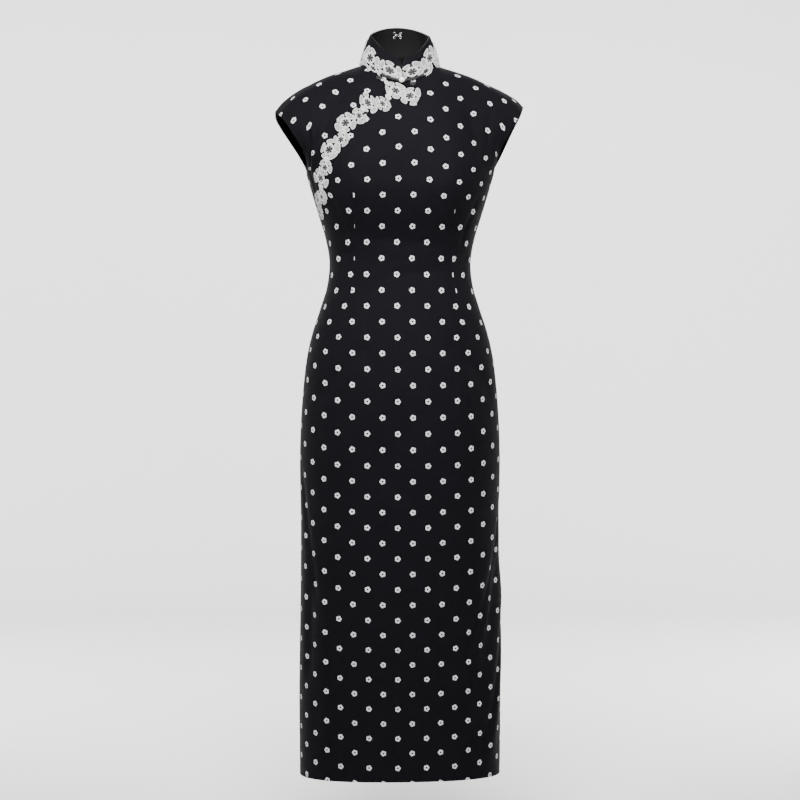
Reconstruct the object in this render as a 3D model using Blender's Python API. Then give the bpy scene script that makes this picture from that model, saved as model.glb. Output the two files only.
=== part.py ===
"""A long cheongsam in its worn, hollow form: cap sleeves cut in one with the body, a stand
collar, a slanted front opening trimmed with flower lace, and a concealed back zip.

Frame: metres, +Z up, the front faces -Y and +X is the wearer's left. The origin is on the
middle line of the body, level with the side points of the neck seam.

A place on the body is given as (side, across, level). side is FRONT or BACK. across runs
from -1 at the wearer's right edge of the panel through 0 at its middle to 1 at the left
edge. level is the height in metres up to the underarm, and above it goes on over the chest
to TOP_LEVEL, which is the shoulder seam and the neckline.
"""

import math

import bmesh
import bpy
import numpy as np
from mathutils import Matrix, Vector
from mathutils.geometry import delaunay_2d_cdt

MM = 0.001
FRONT, BACK = -1, 1
RIGHT, LEFT = -1, 1  # the wearer's own sides

# ---- driving sizes, in metres ----
HEM_Z = -1.200
UNDERARM_Z = -0.187
UPPER_SPAN = 0.160  # levels between the underarm and the shoulder seam
TOP_LEVEL = UNDERARM_Z + UPPER_SPAN
CLOTH = 1.5 * MM
COLLAR_CLOTH = 1.2 * MM
LINING_CLOTH = 0.9 * MM
SEAM_GAP = 0.3 * MM
SECTION_SQUARENESS = 0.03  # how far a section bulges out past an ellipse at its corners

NECK_HALF_WIDTH = 0.068
NECK_FRONT_Y, NECK_SIDE_Y, NECK_BACK_Y = -0.055, 0.008, 0.062
NECK_FRONT_Z, NECK_BACK_Z = -0.032, 0.021
NECK_ACROSS = 0.40  # share of a panel's top edge that is neckline
SHOULDER_TIP_X, SHOULDER_TIP_Y = 0.212, 0.004

RIM_HALF_WIDTH = 0.051
RIM_FRONT_Y, RIM_SIDE_Y, RIM_BACK_Y = -0.047, 0.006, 0.053
RIM_FRONT_Z, RIM_SIDE_Z, RIM_BACK_Z = 0.007, 0.053, 0.074
COLLAR_BULGE = 1.5 * MM
NOTCH_FROM = 0.50  # share of the collar's height where its front edges part
NOTCH_HALF_GAP = 7.0 * MM

LACE = 1.2 * MM
LACE_CLEAR = 0.5 * MM
CORD_RADIUS = 2.2 * MM
PEARL_RADIUS = 5.0 * MM


def table(columns, rows):
    """Rows of millimetres as a dictionary of metre arrays, one for each named column."""
    values = np.array(rows, float).T * MM
    return dict(zip(columns.split(), values))


# Sections of the body, from the hem to the underarm.
BODY = table(
    "z half_width front_depth back_depth",
    [
        (-1200, 170, 101, 107),
        (-1050, 171, 103, 109),
        (-900, 169, 105, 112),
        (-760, 168.5, 107, 115),
        (-660, 170, 109, 118),
        (-600, 168, 110, 119),
        (-540, 163.5, 109, 118),
        (-495, 158, 106, 113),
        (-455, 149, 101, 106),
        (-415, 136, 95, 96),
        (-375, 124, 89, 85),
        (-335, 120, 87, 79),
        (-295, 126, 93, 81),
        (-255, 137, 106, 89),
        (-215, 149, 114, 97),
        (-187, 158, 113, 100),
    ],
)

# The shoulder line of each side, from the neck to the tip of the cap sleeve.
SHOULDER = table(
    "x right_z left_z",
    [
        (68, 1, 1),
        (92, -8, -7),
        (125, -19, -18),
        (150, -31, -29),
        (172, -43, -39),
        (190, -56, -49),
        (203, -68, -58),
        (212, -80, -68),
    ],
)

# The edges of the armhole, by their share of the height from the underarm to the tip.
ARMHOLE_SHARE = np.array([0.0, 0.11, 0.32, 0.60, 0.80, 0.92, 1.0])
ARMHOLE = table(
    "front_x front_y back_right_x back_left_x back_y",
    [
        (158, 0, 158, 158, 0),
        (158.5, -27, 159, 164, 26),
        (166, -46, 169, 178, 46),
        (184, -49, 188, 194, 50),
        (197, -38, 203, 205, 42),
        (206, -22, 211, 211, 26),
        (212, 4, 212, 212, 4),
    ],
)

# Soft fullness of the bust, on a general figure.
BUST_X, BUST_Z = 0.086, -0.212
BUST_SPREAD_X, BUST_SPREAD_Z = 0.052, 0.058
BUST_RISE = 7.0 * MM


def smooth(xs, ys, x):
    """A smooth curve through the points (xs, ys), read at x."""
    slopes = np.gradient(ys, xs)
    x = np.clip(x, xs[0], xs[-1])
    i = np.clip(np.searchsorted(xs, x, side="right") - 1, 0, len(xs) - 2)
    step = xs[i + 1] - xs[i]
    t = (x - xs[i]) / step
    return hermite(ys[i], ys[i + 1], slopes[i] * step, slopes[i + 1] * step, t)


def hermite(start, end, start_tangent, end_tangent, t):
    return (
        (2 * t**3 - 3 * t**2 + 1) * start
        + (t**3 - 2 * t**2 + t) * start_tangent
        + (3 * t**2 - 2 * t**3) * end
        + (t**3 - t**2) * end_tangent
    )


def ease(t):
    t = np.clip(t, 0.0, 1.0)
    return t * t * (3 - 2 * t)


def xyz(x, y, z):
    return np.stack(np.broadcast_arrays(x, y, z), axis=-1).astype(float)


# ---- the largest folds of the cloth ----
# Each is a soft valley from one place to another: across and z at its two ends, its half
# width and its depth. A negative depth is a ridge.
FOLDS = {
    FRONT: [
        {"across": (0.80, 0.44), "z": (-0.835, -1.100), "half_width": 0.015, "depth": 6.0 * MM},
        {"across": (0.98, 0.62), "z": (-0.860, -1.150), "half_width": 0.020, "depth": -4.0 * MM},
        {"across": (-0.71, -0.72), "z": (-0.860, -1.030), "half_width": 0.014, "depth": 4.0 * MM},
        {"across": (0.20, 0.50), "z": (-0.815, -0.945), "half_width": 0.018, "depth": 2.5 * MM},
        {"across": (0.48, 0.51), "z": (-0.070, -0.155), "half_width": 0.010, "depth": 2.5 * MM},
        {"across": (0.76, 0.66), "z": (-0.085, -0.140), "half_width": 0.010, "depth": 2.0 * MM},
        {"across": (-0.86, -0.85), "z": (-0.066, -0.150), "half_width": 0.010, "depth": 2.0 * MM},
    ],
    BACK: [
        {"across": (-0.80, -0.55), "z": (-0.870, -1.120), "half_width": 0.018, "depth": 5.5 * MM},
        {"across": (0.74, 0.80), "z": (-0.900, -1.080), "half_width": 0.016, "depth": 4.0 * MM},
        {"across": (-0.60, 0.60), "z": (-0.395, -0.405), "half_width": 0.014, "depth": 2.0 * MM},
        {"across": (0.48, 0.60), "z": (-0.060, -0.160), "half_width": 0.011, "depth": 2.5 * MM},
        {"across": (-0.46, -0.60), "z": (-0.060, -0.160), "half_width": 0.011, "depth": 2.0 * MM},
    ],
}
ACROSS_METRES = 0.21  # about the length of half a panel, to measure folds in metres
PLACE_SCALE = np.array([ACROSS_METRES, 1.0])  # turns (across, level) into about metres of cloth


def fold_depth(side, across, z):
    """How far the folds take the cloth inwards at this place."""
    total = np.zeros(np.broadcast(across, z).shape)
    for fold in FOLDS[side]:
        x0, x1 = (value * ACROSS_METRES for value in fold["across"])
        z0, z1 = fold["z"]
        length = math.hypot(x1 - x0, z1 - z0)
        along_x, along_z = (x1 - x0) / length, (z1 - z0) / length
        dx, dz = across * ACROSS_METRES - x0, z - z0
        along = (dx * along_x + dz * along_z) / length
        aside = dx * along_z - dz * along_x
        fade = ease(along / 0.3 + 0.5) * ease((1 - along) / 0.3 + 0.5)
        total = total + fold["depth"] * fade * np.exp(-((aside / fold["half_width"]) ** 2))
    return total


# ---- the surface of the body ----
def section(side, across, z):
    """The outline of the skirt and bodice at one height, up to the underarm."""
    angle = across * math.pi / 2
    k = SECTION_SQUARENESS
    half_width = smooth(BODY["z"], BODY["half_width"], z)
    depth = smooth(BODY["z"], BODY["front_depth" if side == FRONT else "back_depth"], z)
    x = half_width * (np.sin(angle) + k * np.sin(3 * angle)) / (1 - k)
    y = side * depth * (np.cos(angle) - k * np.cos(3 * angle)) / (1 - k)
    return xyz(x, y, z)


def neck_ring(angle):
    """The neck seam, by its angle from the middle front (0) round the wearer's left side."""
    cos = np.cos(angle)
    front = np.clip(cos, 0, None)
    back = np.clip(-cos, 0, None)
    x = NECK_HALF_WIDTH * np.sin(angle)
    y = NECK_SIDE_Y + (NECK_FRONT_Y - NECK_SIDE_Y) * front + (NECK_BACK_Y - NECK_SIDE_Y) * back
    z = NECK_FRONT_Z * front**2.6 + NECK_BACK_Z * back**1.4
    return xyz(x, y, z)


def rim_ring(angle):
    """The top edge of the collar, by the same angle."""
    cos = np.cos(angle)
    front = np.clip(cos, 0, None)
    back = np.clip(-cos, 0, None)
    x = RIM_HALF_WIDTH * np.sin(angle)
    y = RIM_SIDE_Y + (RIM_FRONT_Y - RIM_SIDE_Y) * front + (RIM_BACK_Y - RIM_SIDE_Y) * back
    z = RIM_SIDE_Z + (RIM_FRONT_Z - RIM_SIDE_Z) * front**1.7 + (RIM_BACK_Z - RIM_SIDE_Z) * back**1.4
    return xyz(x, y, z)


def top_edge(side, across):
    """The shoulder seam and, between the shoulders, the neckline."""
    out = np.abs(across)
    hand = np.where(across < 0, RIGHT, LEFT)
    quarter = np.clip(out / NECK_ACROSS, 0, 1) * math.pi / 2
    neck = neck_ring(quarter if side == FRONT else math.pi - quarter)
    share = np.clip((out - NECK_ACROSS) / (1 - NECK_ACROSS), 0, 1)
    x = NECK_HALF_WIDTH + (SHOULDER_TIP_X - NECK_HALF_WIDTH) * share
    z = np.where(
        hand < 0,
        smooth(SHOULDER["x"], SHOULDER["right_z"], x),
        smooth(SHOULDER["x"], SHOULDER["left_z"], x),
    ) - SHOULDER["right_z"][0] * (1 - share)
    y = NECK_SIDE_Y + (SHOULDER_TIP_Y - NECK_SIDE_Y) * share
    edge = np.where((out < NECK_ACROSS)[..., None], neck, xyz(x, y, z))
    return edge * xyz(hand, 1, 1)


def armhole_edge(side, hand, t):
    """The free edge of the cap sleeve, from the underarm (0) to the shoulder tip (1)."""
    name = "front" if side == FRONT else "back"
    own_x = "front_x" if side == FRONT else "back_%s_x" % ("right" if hand < 0 else "left")
    share = 0.5 * t + 0.5 * ease(t)
    tip = top_edge(side, hand * 1.0)
    z = UNDERARM_Z + (tip[..., 2] - UNDERARM_Z) * share
    x = hand * smooth(ARMHOLE_SHARE, ARMHOLE[own_x], share)
    return xyz(x, smooth(ARMHOLE_SHARE, ARMHOLE[name + "_y"], share), z)


CHEST_PULL = {FRONT: 0.200, BACK: 0.190}  # how stiffly the cloth leaves the shoulder
NECK_SLOPE = {FRONT: math.radians(50), BACK: math.radians(52)}


def chest(side, across, t):
    """The part above the underarm: t is 0 at the underarm and 1 at the top edge."""
    probe = 4 * MM
    start = section(side, across, UNDERARM_Z)
    rise = (start - section(side, across, UNDERARM_Z - probe)) / probe * UPPER_SPAN
    end = top_edge(side, across)
    slope = NECK_SLOPE[side] * np.cos(np.clip(np.abs(across) / NECK_ACROSS, 0, 1) * math.pi / 2)
    over = CHEST_PULL[side] * xyz(0, -side * np.cos(slope), np.sin(slope))
    return hermite(start, end, rise, over, t[..., None])


def body(side, across, level):
    """A point of the cloth's outer face."""
    across, level = np.broadcast_arrays(np.asarray(across, float), np.asarray(level, float))
    t = np.clip((level - UNDERARM_Z) / UPPER_SPAN, 0, 1)
    low = section(side, across, np.minimum(level, UNDERARM_Z))
    high = chest(side, across, t)
    for hand in (RIGHT, LEFT):
        pull = armhole_edge(side, hand, t) - chest(side, np.full(t.shape, float(hand)), t)
        weight = ease((hand * across - 0.50) / 0.50)
        high = high + weight[..., None] * pull
    point = np.where((t > 0)[..., None], high, low)
    bust = BUST_RISE * np.exp(
        -(((np.abs(point[..., 0]) - BUST_X) / BUST_SPREAD_X) ** 2)
        - ((point[..., 2] - BUST_Z) / BUST_SPREAD_Z) ** 2
    )
    inward = fold_depth(side, across, point[..., 2])
    swell = (bust if side == FRONT else 0.0) - inward
    outwards = np.stack([point[..., 0], point[..., 1] * 1.5, 0 * t], axis=-1)
    outwards /= np.linalg.norm(outwards, axis=-1, keepdims=True) + 1e-9
    return point + outwards * (swell * (1 - ease(t * 1.25 - 0.25)))[..., None]


def unit(vectors):
    return vectors / np.linalg.norm(vectors, axis=-1, keepdims=True)


def body_normal(side, across, level):
    """The direction out of the cloth. At a seam both panels give the same one."""
    step_across, step_level = 0.004, 0.0008
    across, level = np.broadcast_arrays(np.asarray(across, float), np.asarray(level, float))
    a0, a1 = np.clip(across - step_across, -1, 1), np.clip(across + step_across, -1, 1)
    l0 = np.clip(level - step_level, HEM_Z, TOP_LEVEL)
    l1 = np.clip(level + step_level, HEM_Z, TOP_LEVEL)
    along_across = body(side, a1, level) - body(side, a0, level)
    along_level = body(side, across, l1) - body(side, across, l0)
    normal = -side * np.cross(along_across, along_level)
    at_side = (np.abs(across) > 0.999) & (level < UNDERARM_Z + 1e-6)
    at_shoulder = (level > TOP_LEVEL - 1e-6) & (np.abs(across) > NECK_ACROSS - 1e-6)
    normal[..., 1] = np.where(at_side | at_shoulder, 0.0, normal[..., 1])
    return unit(normal)


def off_body(side, across, level, out):
    """A point of the cloth moved out along its normal, or in where out is negative."""
    return body(side, across, level) + body_normal(side, across, level) * out


# ---- the surface of the collar ----
def collar(hand, share, height):
    """share runs from the middle front (0) to the middle back (1), height from seam to rim."""
    parting = NOTCH_HALF_GAP * np.clip((height - NOTCH_FROM) / (1 - NOTCH_FROM), 0, 1) ** 1.7
    start = (SEAM_GAP / 2 + parting) / RIM_HALF_WIDTH
    end = math.pi - SEAM_GAP / 2 / RIM_HALF_WIDTH
    angle = start + (end - start) * share
    low, high = neck_ring(angle), rim_ring(angle)
    lift = (SEAM_GAP + 0.2 * MM) / 0.045
    height = (lift + (1 - lift) * height)[..., None]
    point = low + (high - low) * height
    outwards = unit(xyz(np.sin(angle), -np.cos(angle), 0.0))
    point = point + outwards * COLLAR_BULGE * np.sin(math.pi * height)
    return point * xyz(hand, 1, 1)


def collar_normal(hand, share, height):
    step = 0.01
    share, height = np.broadcast_arrays(np.asarray(share, float), np.asarray(height, float))
    s0, s1 = np.clip(share - step, 0, 1), np.clip(share + step, 0, 1)
    h0, h1 = np.clip(height - step, 0, 1), np.clip(height + step, 0, 1)
    along = collar(hand, s1, height) - collar(hand, s0, height)
    up = collar(hand, share, h1) - collar(hand, share, h0)
    normal = unit(hand * np.cross(along, up))
    at_seam = (share < 1e-6) | (share > 1 - 1e-6)
    normal[..., 0] = np.where(at_seam, 0.0, normal[..., 0])
    return unit(normal)


def off_collar(hand, share, height, out):
    share, height = np.broadcast_arrays(np.asarray(share, float), np.asarray(height, float))
    return collar(hand, share, height) + collar_normal(hand, share, height) * out


# ---- building meshes ----
def clear_scene():
    for old in list(bpy.data.objects):
        bpy.data.objects.remove(old, do_unlink=True)


def material(name, colour, roughness, metallic=0.0):
    made = bpy.data.materials.get(name) or bpy.data.materials.new(name)
    made.use_nodes = True
    shader = made.node_tree.nodes["Principled BSDF"]
    shader.inputs["Base Color"].default_value = (*colour, 1.0)
    shader.inputs["Roughness"].default_value = roughness
    shader.inputs["Metallic"].default_value = metallic
    return made


def finish(name, mesh_maker, surface, smooth_angle=40):
    """Turns a bmesh into a named object with its material and smooth shading."""
    mesh = bpy.data.meshes.new(name)
    mesh_maker.to_mesh(mesh)
    mesh_maker.free()
    mesh.materials.append(surface)
    mesh.shade_smooth()
    mesh.set_sharp_from_angle(angle=math.radians(smooth_angle))
    made = bpy.data.objects.new(name, mesh)
    bpy.context.scene.collection.objects.link(made)
    return made


def wall(name, faces, outer, inner, surface):
    """A closed wall between two layers of points that share their faces.

    The faces run anticlockwise as seen from the outer layer's side.
    """
    maker = bmesh.new()
    top = [maker.verts.new(point) for point in outer]
    bottom = [maker.verts.new(point) for point in inner]
    edges = {}
    for face in faces:
        maker.faces.new([top[i] for i in face])
        maker.faces.new([bottom[i] for i in reversed(face)])
        for a, b in zip(face, (*face[1:], face[0])):
            edges[(a, b)] = True
    for a, b in edges:
        if (b, a) not in edges:
            maker.faces.new([top[b], top[a], bottom[a], bottom[b]])
    loose = [vert for vert in maker.verts if not vert.link_faces]
    bmesh.ops.delete(maker, geom=loose, context="VERTS")
    return finish(name, maker, surface)


def grid_faces(columns, rows, flip):
    """Faces of a grid whose points are numbered row by row."""
    faces = []
    for row in range(rows - 1):
        for column in range(columns - 1):
            a = row * columns + column
            b = a + columns
            for face in ((a, a + 1, b + 1), (a, b + 1, b)):
                faces.append(face[::-1] if flip else face)
    return faces


def grid(columns, rows):
    """The (across, level) places of a grid, numbered row by row."""
    level, across = np.meshgrid(rows, columns, indexing="ij")
    return across.ravel(), level.ravel()


BODY_LEVELS = np.concatenate(
    [
        np.linspace(HEM_Z, -0.640, 15),
        np.linspace(-0.600, UNDERARM_Z, 15),
        np.linspace(UNDERARM_Z, TOP_LEVEL, 9)[1:],
    ]
)
COLUMNS = np.linspace(-1, 1, 21)
NECK_STEPS = 8  # stretches of the neckline from the middle to the shoulder


def panel_places(lowest, highest):
    """The places of a panel's points, with more of them along its neckline."""
    columns = COLUMNS[(COLUMNS > lowest - 1e-6) & (COLUMNS < highest + 1e-6)]
    across, level = grid(columns, BODY_LEVELS)
    neck = np.arange(-NECK_STEPS, NECK_STEPS + 1) * NECK_ACROSS / NECK_STEPS
    far = np.min(np.abs(neck[:, None] - columns[None, :]), axis=1) > 1e-6
    neck = neck[far & (neck > lowest) & (neck < highest)]
    return np.concatenate(
        [np.column_stack([across, level]), np.column_stack([neck, np.full(len(neck), TOP_LEVEL)])]
    )


def triangulated(places, edges, merge=0.0001):
    """Triangles over the places that keep the given edges, as (places, triangles)."""
    points = [Vector(place) for place in places * PLACE_SCALE]
    made, _, faces, *_ = delaunay_2d_cdt(points, edges, [], 0, merge)
    found = np.array([tuple(point) for point in made]) / PLACE_SCALE
    return found, np.array([tuple(face) for face in faces])


def part_seams(side, across, level, points):
    """Draws the edges of a panel back from its side and shoulder seams by half a gap."""
    at_side = (np.abs(across) > 0.999) & (level < UNDERARM_Z + 1e-6)
    at_shoulder = (level > TOP_LEVEL - 1e-6) & (np.abs(across) > NECK_ACROSS - 1e-6)
    points[..., 1] += np.where(at_side | at_shoulder, side * SEAM_GAP / 2, 0.0)
    return points


def back_panel(name, hand, surface):
    places, faces = triangulated(panel_places(*sorted((0, hand))), [])
    faces = faces[:, ::-1]
    across, level = places.T
    layers = []
    for out in (0.0, -CLOTH):
        points = part_seams(BACK, across, level, off_body(BACK, across, level, out))
        at_middle = np.abs(across) < 1e-6
        points[:, 0] = np.where(at_middle, hand * SEAM_GAP / 2, points[:, 0])
        layers.append(points)
    wall(name, faces, *layers, surface)
    return (across, level), faces


# ---- the slanted opening of the front ----
# The line of the opening, from the middle of the neckline to the side seam: across, level.
OPENING = [
    (0.000, TOP_LEVEL),
    (-0.122, -0.070),
    (-0.259, -0.104),
    (-0.369, -0.129),
    (-0.447, -0.148),
    (-0.527, -0.169),
    (-0.621, -0.199),
    (-0.775, -0.233),
    (-0.902, -0.259),
    (-1.000, -0.274),
]
OPENING_POINTS = 22


def opening_line():
    places = np.array(OPENING)
    steps = np.linalg.norm(np.diff(places, axis=0) * PLACE_SCALE, axis=1)
    run = np.concatenate([[0], np.cumsum(steps)])
    reads = np.linspace(0, run[-1], OPENING_POINTS)
    line = np.column_stack([smooth(run, places[:, 0], reads), smooth(run, places[:, 1], reads)])
    line[0], line[-1] = places[0], places[-1]
    return line


def above_opening(line, across, level):
    """Whether a place is on the wearer's right of the opening and above it."""
    limit = np.interp(across, line[::-1, 0], line[::-1, 1])
    return (across < 0) & (level > limit)


def from_line(line, places):
    """How far each place lies from the nearest point of the opening's line."""
    return np.min(np.linalg.norm((places[:, None] - line[None]) * PLACE_SCALE, axis=-1), axis=1)


def front_panels(surface):
    """The front, cut along the slanted opening into its main panel and its yoke."""
    line = opening_line()
    places = panel_places(-1, 1)
    across, level = places.T
    on_edge = (np.abs(across) > 0.999) | (level > TOP_LEVEL - 1e-6) | (level < HEM_Z + 1e-6)
    away = from_line(line, places)
    places = places[(away > 7 * MM) | (on_edge & (away > 0.5 * MM))]
    edges = [(i, i + 1) for i in range(len(line) - 1)]
    found, triangles = triangulated(np.concatenate([line, places]), edges)
    on_line = from_line(line, found) < 0.2 * MM
    across, level = found.T
    yoke_side = above_opening(line, *found[triangles].mean(axis=1).T)
    for name, wanted, shift in (("front_main", ~yoke_side, -1), ("front_yoke", yoke_side, 1)):
        layers = []
        for out in (0.0, -CLOTH):
            points = part_seams(FRONT, across, level, off_body(FRONT, across, level, out))
            points[on_line] += shift * SEAM_GAP / 2 * opening_sideways(line, found[on_line])
            layers.append(points)
        wall(name, triangles[wanted], *layers, surface)
    return (across, level), triangles


def opening_sideways(line, places):
    """The direction in the cloth from the opening's line towards the yoke."""
    nearest = np.argmin(np.hypot(*(places[:, None, :] - line[None, :, :]).transpose(2, 0, 1)), axis=1)
    before, after = np.clip(nearest - 1, 0, None), np.clip(nearest + 1, None, len(line) - 1)
    along = body(FRONT, *line[after].T) - body(FRONT, *line[before].T)
    normal = body_normal(FRONT, *line[nearest].T)
    return unit(np.cross(along, normal))


# ---- collar ----
COLLAR_SHARES = np.linspace(0, 1, 2 * NECK_STEPS + 1)
COLLAR_HEIGHTS = np.array([0.0, 0.35, 0.62, 0.82, 1.0])


def collar_half(name, hand, inset, thickness, low, high, surface):
    """One half of the collar, or of its lining, set in from the outer face by inset."""
    share, height = grid(COLLAR_SHARES, low + (high - low) * COLLAR_HEIGHTS)
    outer = off_collar(hand, share, height, -inset)
    inner = off_collar(hand, share, height, -inset - thickness)
    faces = grid_faces(len(COLLAR_SHARES), len(COLLAR_HEIGHTS), flip=hand < 0)
    return wall(name, faces, outer, inner, surface)


# ---- facings inside the armholes ----
FACING_FROM = 0.79


def armhole_facing(name, side, hand, places, faces, surface):
    """The strip turned in behind the armhole edge, from the panel's own points moved in."""
    across, level = places
    wanted = (hand * across > FACING_FROM) & (level > UNDERARM_Z - 1e-6)
    kept = [face for face in faces if all(wanted[i] for i in face)]
    layers = []
    for out in (-CLOTH - SEAM_GAP, -CLOTH - SEAM_GAP - LINING_CLOTH):
        layers.append(part_seams(side, across, level, off_body(side, across, level, out)))
    return wall(name, kept, *layers, surface)


# ---- flower lace ----
PETALS = 5
LACE_SIZES = {  # radius of the ring of petals, of one petal, and of the open centre
    "big": {"ring": 11.6 * MM, "petal": 7.8 * MM, "hole": 6.9 * MM, "slit": 3.2 * MM},
    "small": {"ring": 9.4 * MM, "petal": 5.8 * MM, "hole": 4.9 * MM, "slit": 2.4 * MM},
    "bud": {"ring": 3.4 * MM, "petal": 4.2 * MM, "hole": 0.0, "slit": 0.0},
}
PETAL_SIDES = 10
LACE_MERGE = 0.6 * MM


def flower_loops(size, turn):
    """The outlines of the petals and of the star-shaped opening, round (0, 0)."""
    sizes = LACE_SIZES[size]
    petals = []
    for petal in range(PETALS):
        angle = math.radians(turn) + petal * math.tau / PETALS
        centre = sizes["ring"] * np.array([math.cos(angle), math.sin(angle)])
        turns = angle + np.arange(PETAL_SIDES) * math.tau / PETAL_SIDES
        petals.append(centre + sizes["petal"] * np.column_stack([np.cos(turns), np.sin(turns)]))
    core = math.radians(turn) + (np.arange(PETALS) + 0.5) * math.tau / PETALS
    petals.append(sizes["ring"] * 0.95 * np.column_stack([np.cos(core), np.sin(core)]))
    star = np.arange(2 * PETALS)
    spoke = np.where(star % 2 == 0, sizes["hole"], sizes["slit"])
    spin = math.radians(turn) + star * math.pi / PETALS
    hole = np.column_stack([spoke * np.cos(spin), spoke * np.sin(spin)])
    return petals, [hole] if sizes["hole"] else []


def inside(loop, points):
    """Which points lie inside a closed loop."""
    x, y = points[:, 0], points[:, 1]
    found = np.zeros(len(points), bool)
    for (x0, y0), (x1, y1) in zip(loop, np.roll(loop, -1, axis=0)):
        if y0 == y1:
            continue
        crosses = (y0 > y) != (y1 > y)
        found ^= crosses & (x < (x1 - x0) * (y - y0) / (y1 - y0) + x0)
    return found


def chained(loops, closed):
    """The points of some loops end to end, with the edges that join each one's."""
    places, edges = [], []
    for loop in loops:
        first, count = len(places), len(loop)
        places.extend(loop)
        ends = count if closed else count - 1
        edges.extend((first + i, first + (i + 1) % count) for i in range(ends))
    return places, edges


def delaunay(places, edges, merge):
    points = [Vector(place) for place in places]
    made, _, faces, *_ = delaunay_2d_cdt(points, edges, [], 0, merge)
    return np.array([tuple(point) for point in made]), np.array([tuple(face) for face in faces])


def border_edges(triangles):
    """The edges that only one triangle has."""
    ends = np.concatenate([triangles[:, [0, 1]], triangles[:, [1, 2]], triangles[:, [2, 0]]])
    found, count = np.unique(np.sort(ends, axis=1), axis=0, return_counts=True)
    return found[count == 1]


def lace_sheet(flowers, borders, allowed):
    """Triangles of the union of the flowers less their openings, where allowed(points) holds.

    Each flower is (centre, stretch, size, turn), all in metres along the cloth.
    """
    petals, holes, seats = [], [], []
    for centre, stretch, size, turn in flowers:
        flower_petals, flower_holes = flower_loops(size, turn)
        petals += [centre + loop / stretch for loop in flower_petals]
        holes += [centre + loop / stretch for loop in flower_holes]
        seats += [centre + loop.mean(axis=0) / stretch for loop in flower_petals[:PETALS]]
    places, edges = chained(petals + holes, closed=True)
    more_places, more_edges = chained(borders, closed=False)
    edges += [(a + len(places), b + len(places)) for a, b in more_edges]

    def is_lace(points):
        cloth = np.any([inside(loop, points) for loop in petals], axis=0)
        opened = np.any([inside(loop, points) for loop in holes], axis=0)
        return cloth & ~opened & allowed(points)

    made, triangles = delaunay(places + more_places, edges, LACE_MERGE)
    triangles = triangles[is_lace(made[triangles].mean(axis=1))]
    border = border_edges(triangles)
    used, renumbered = np.unique(border, return_inverse=True)
    outline = made[used]
    seats = np.array(seats)
    apart = np.min(np.linalg.norm(seats[:, None] - outline[None], axis=-1), axis=1)
    seats = seats[(apart > 2.5 * MM) & is_lace(seats)]
    border = [tuple(int(i) for i in edge) for edge in renumbered.reshape(-1, 2)]
    made, triangles = delaunay(np.concatenate([outline, seats]), border, 0.00002)
    triangles = triangles[is_lace(made[triangles].mean(axis=1))]
    return made, largest_piece(triangles)


def largest_piece(triangles):
    """The largest set of triangles joined by edges, without pinched corners."""
    triangles = [tuple(int(i) for i in triangle) for triangle in triangles]
    while True:
        by_edge = {}
        for number, triangle in enumerate(triangles):
            for a, b in zip(triangle, triangle[1:] + triangle[:1]):
                by_edge.setdefault(frozenset((a, b)), []).append(number)
        label = [-1] * len(triangles)
        sizes = []
        for start in range(len(triangles)):
            if label[start] >= 0:
                continue
            waiting = [start]
            label[start] = len(sizes)
            count = 0
            while waiting:
                number = waiting.pop()
                count += 1
                triangle = triangles[number]
                for a, b in zip(triangle, triangle[1:] + triangle[:1]):
                    for other in by_edge[frozenset((a, b))]:
                        if label[other] < 0:
                            label[other] = len(sizes)
                            waiting.append(other)
            sizes.append(count)
        best = sizes.index(max(sizes))
        triangles = [triangle for triangle, found in zip(triangles, label) if found == best]
        pinched = pinched_corners(triangles)
        if not pinched:
            return triangles
        corner = min(pinched)
        touching = [t for t in triangles if corner in t]
        fan = smallest_fan(touching)
        triangles = [triangle for triangle in triangles if triangle not in fan]


def fans(touching):
    """The triangles round one corner, in groups joined by edges."""
    groups = []
    for triangle in touching:
        joined = [g for g in groups if any(len(set(t) & set(triangle)) == 2 for t in g)]
        merged = [triangle] + [t for g in joined for t in g]
        groups = [g for g in groups if g not in joined] + [merged]
    return groups


def smallest_fan(touching):
    return min(fans(touching), key=len)


def pinched_corners(triangles):
    at_corner = {}
    for triangle in triangles:
        for corner in triangle:
            at_corner.setdefault(corner, []).append(triangle)
    edge_count = {}
    for triangle in triangles:
        for a, b in zip(triangle, triangle[1:] + triangle[:1]):
            edge_count[frozenset((a, b))] = edge_count.get(frozenset((a, b)), 0) + 1
    on_border = {corner for edge, count in edge_count.items() if count == 1 for corner in edge}
    return {corner for corner in on_border if len(fans(at_corner[corner])) > 1}


# The flowers of the slanted lace: across and level of each, its size and its turn.
SLANT_FLOWERS = [
    (0.038, -0.059, "big", 10),
    (-0.050, -0.052, "big", 52),
    (-0.092, -0.062, "bud", 0),
    (-0.100, -0.070, "bud", 0),
    (-0.141, -0.083, "small", 22),
    (-0.240, -0.094, "big", 40),
    (-0.272, -0.106, "bud", 0),
    (-0.298, -0.117, "small", 0),
    (-0.400, -0.126, "big", 66),
    (-0.414, -0.138, "bud", 20),
    (-0.430, -0.148, "small", 30),
    (-0.518, -0.158, "big", 12),
    (-0.537, -0.171, "bud", 40),
    (-0.560, -0.183, "small", 50),
    (-0.641, -0.199, "big", 28),
    (-0.672, -0.215, "bud", 10),
    (-0.699, -0.229, "small", 8),
    (-0.806, -0.233, "small", 44),
    (-0.844, -0.252, "small", 20),
]
LACE_TOP_DROP = 7.5 * MM  # the lace stops this far below the neck seam, clear of the cord


def local_scale(across, level):
    """Metres of cloth for one unit of across at this place."""
    step = 0.02
    span = body(FRONT, across + step, level) - body(FRONT, across - step, level)
    return float(np.linalg.norm(span)) / (2 * step)


def level_scale(across, level):
    step = 4 * MM
    span = body(FRONT, across, level + step) - body(FRONT, across, level - step)
    return float(np.linalg.norm(span)) / (2 * step)


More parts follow.
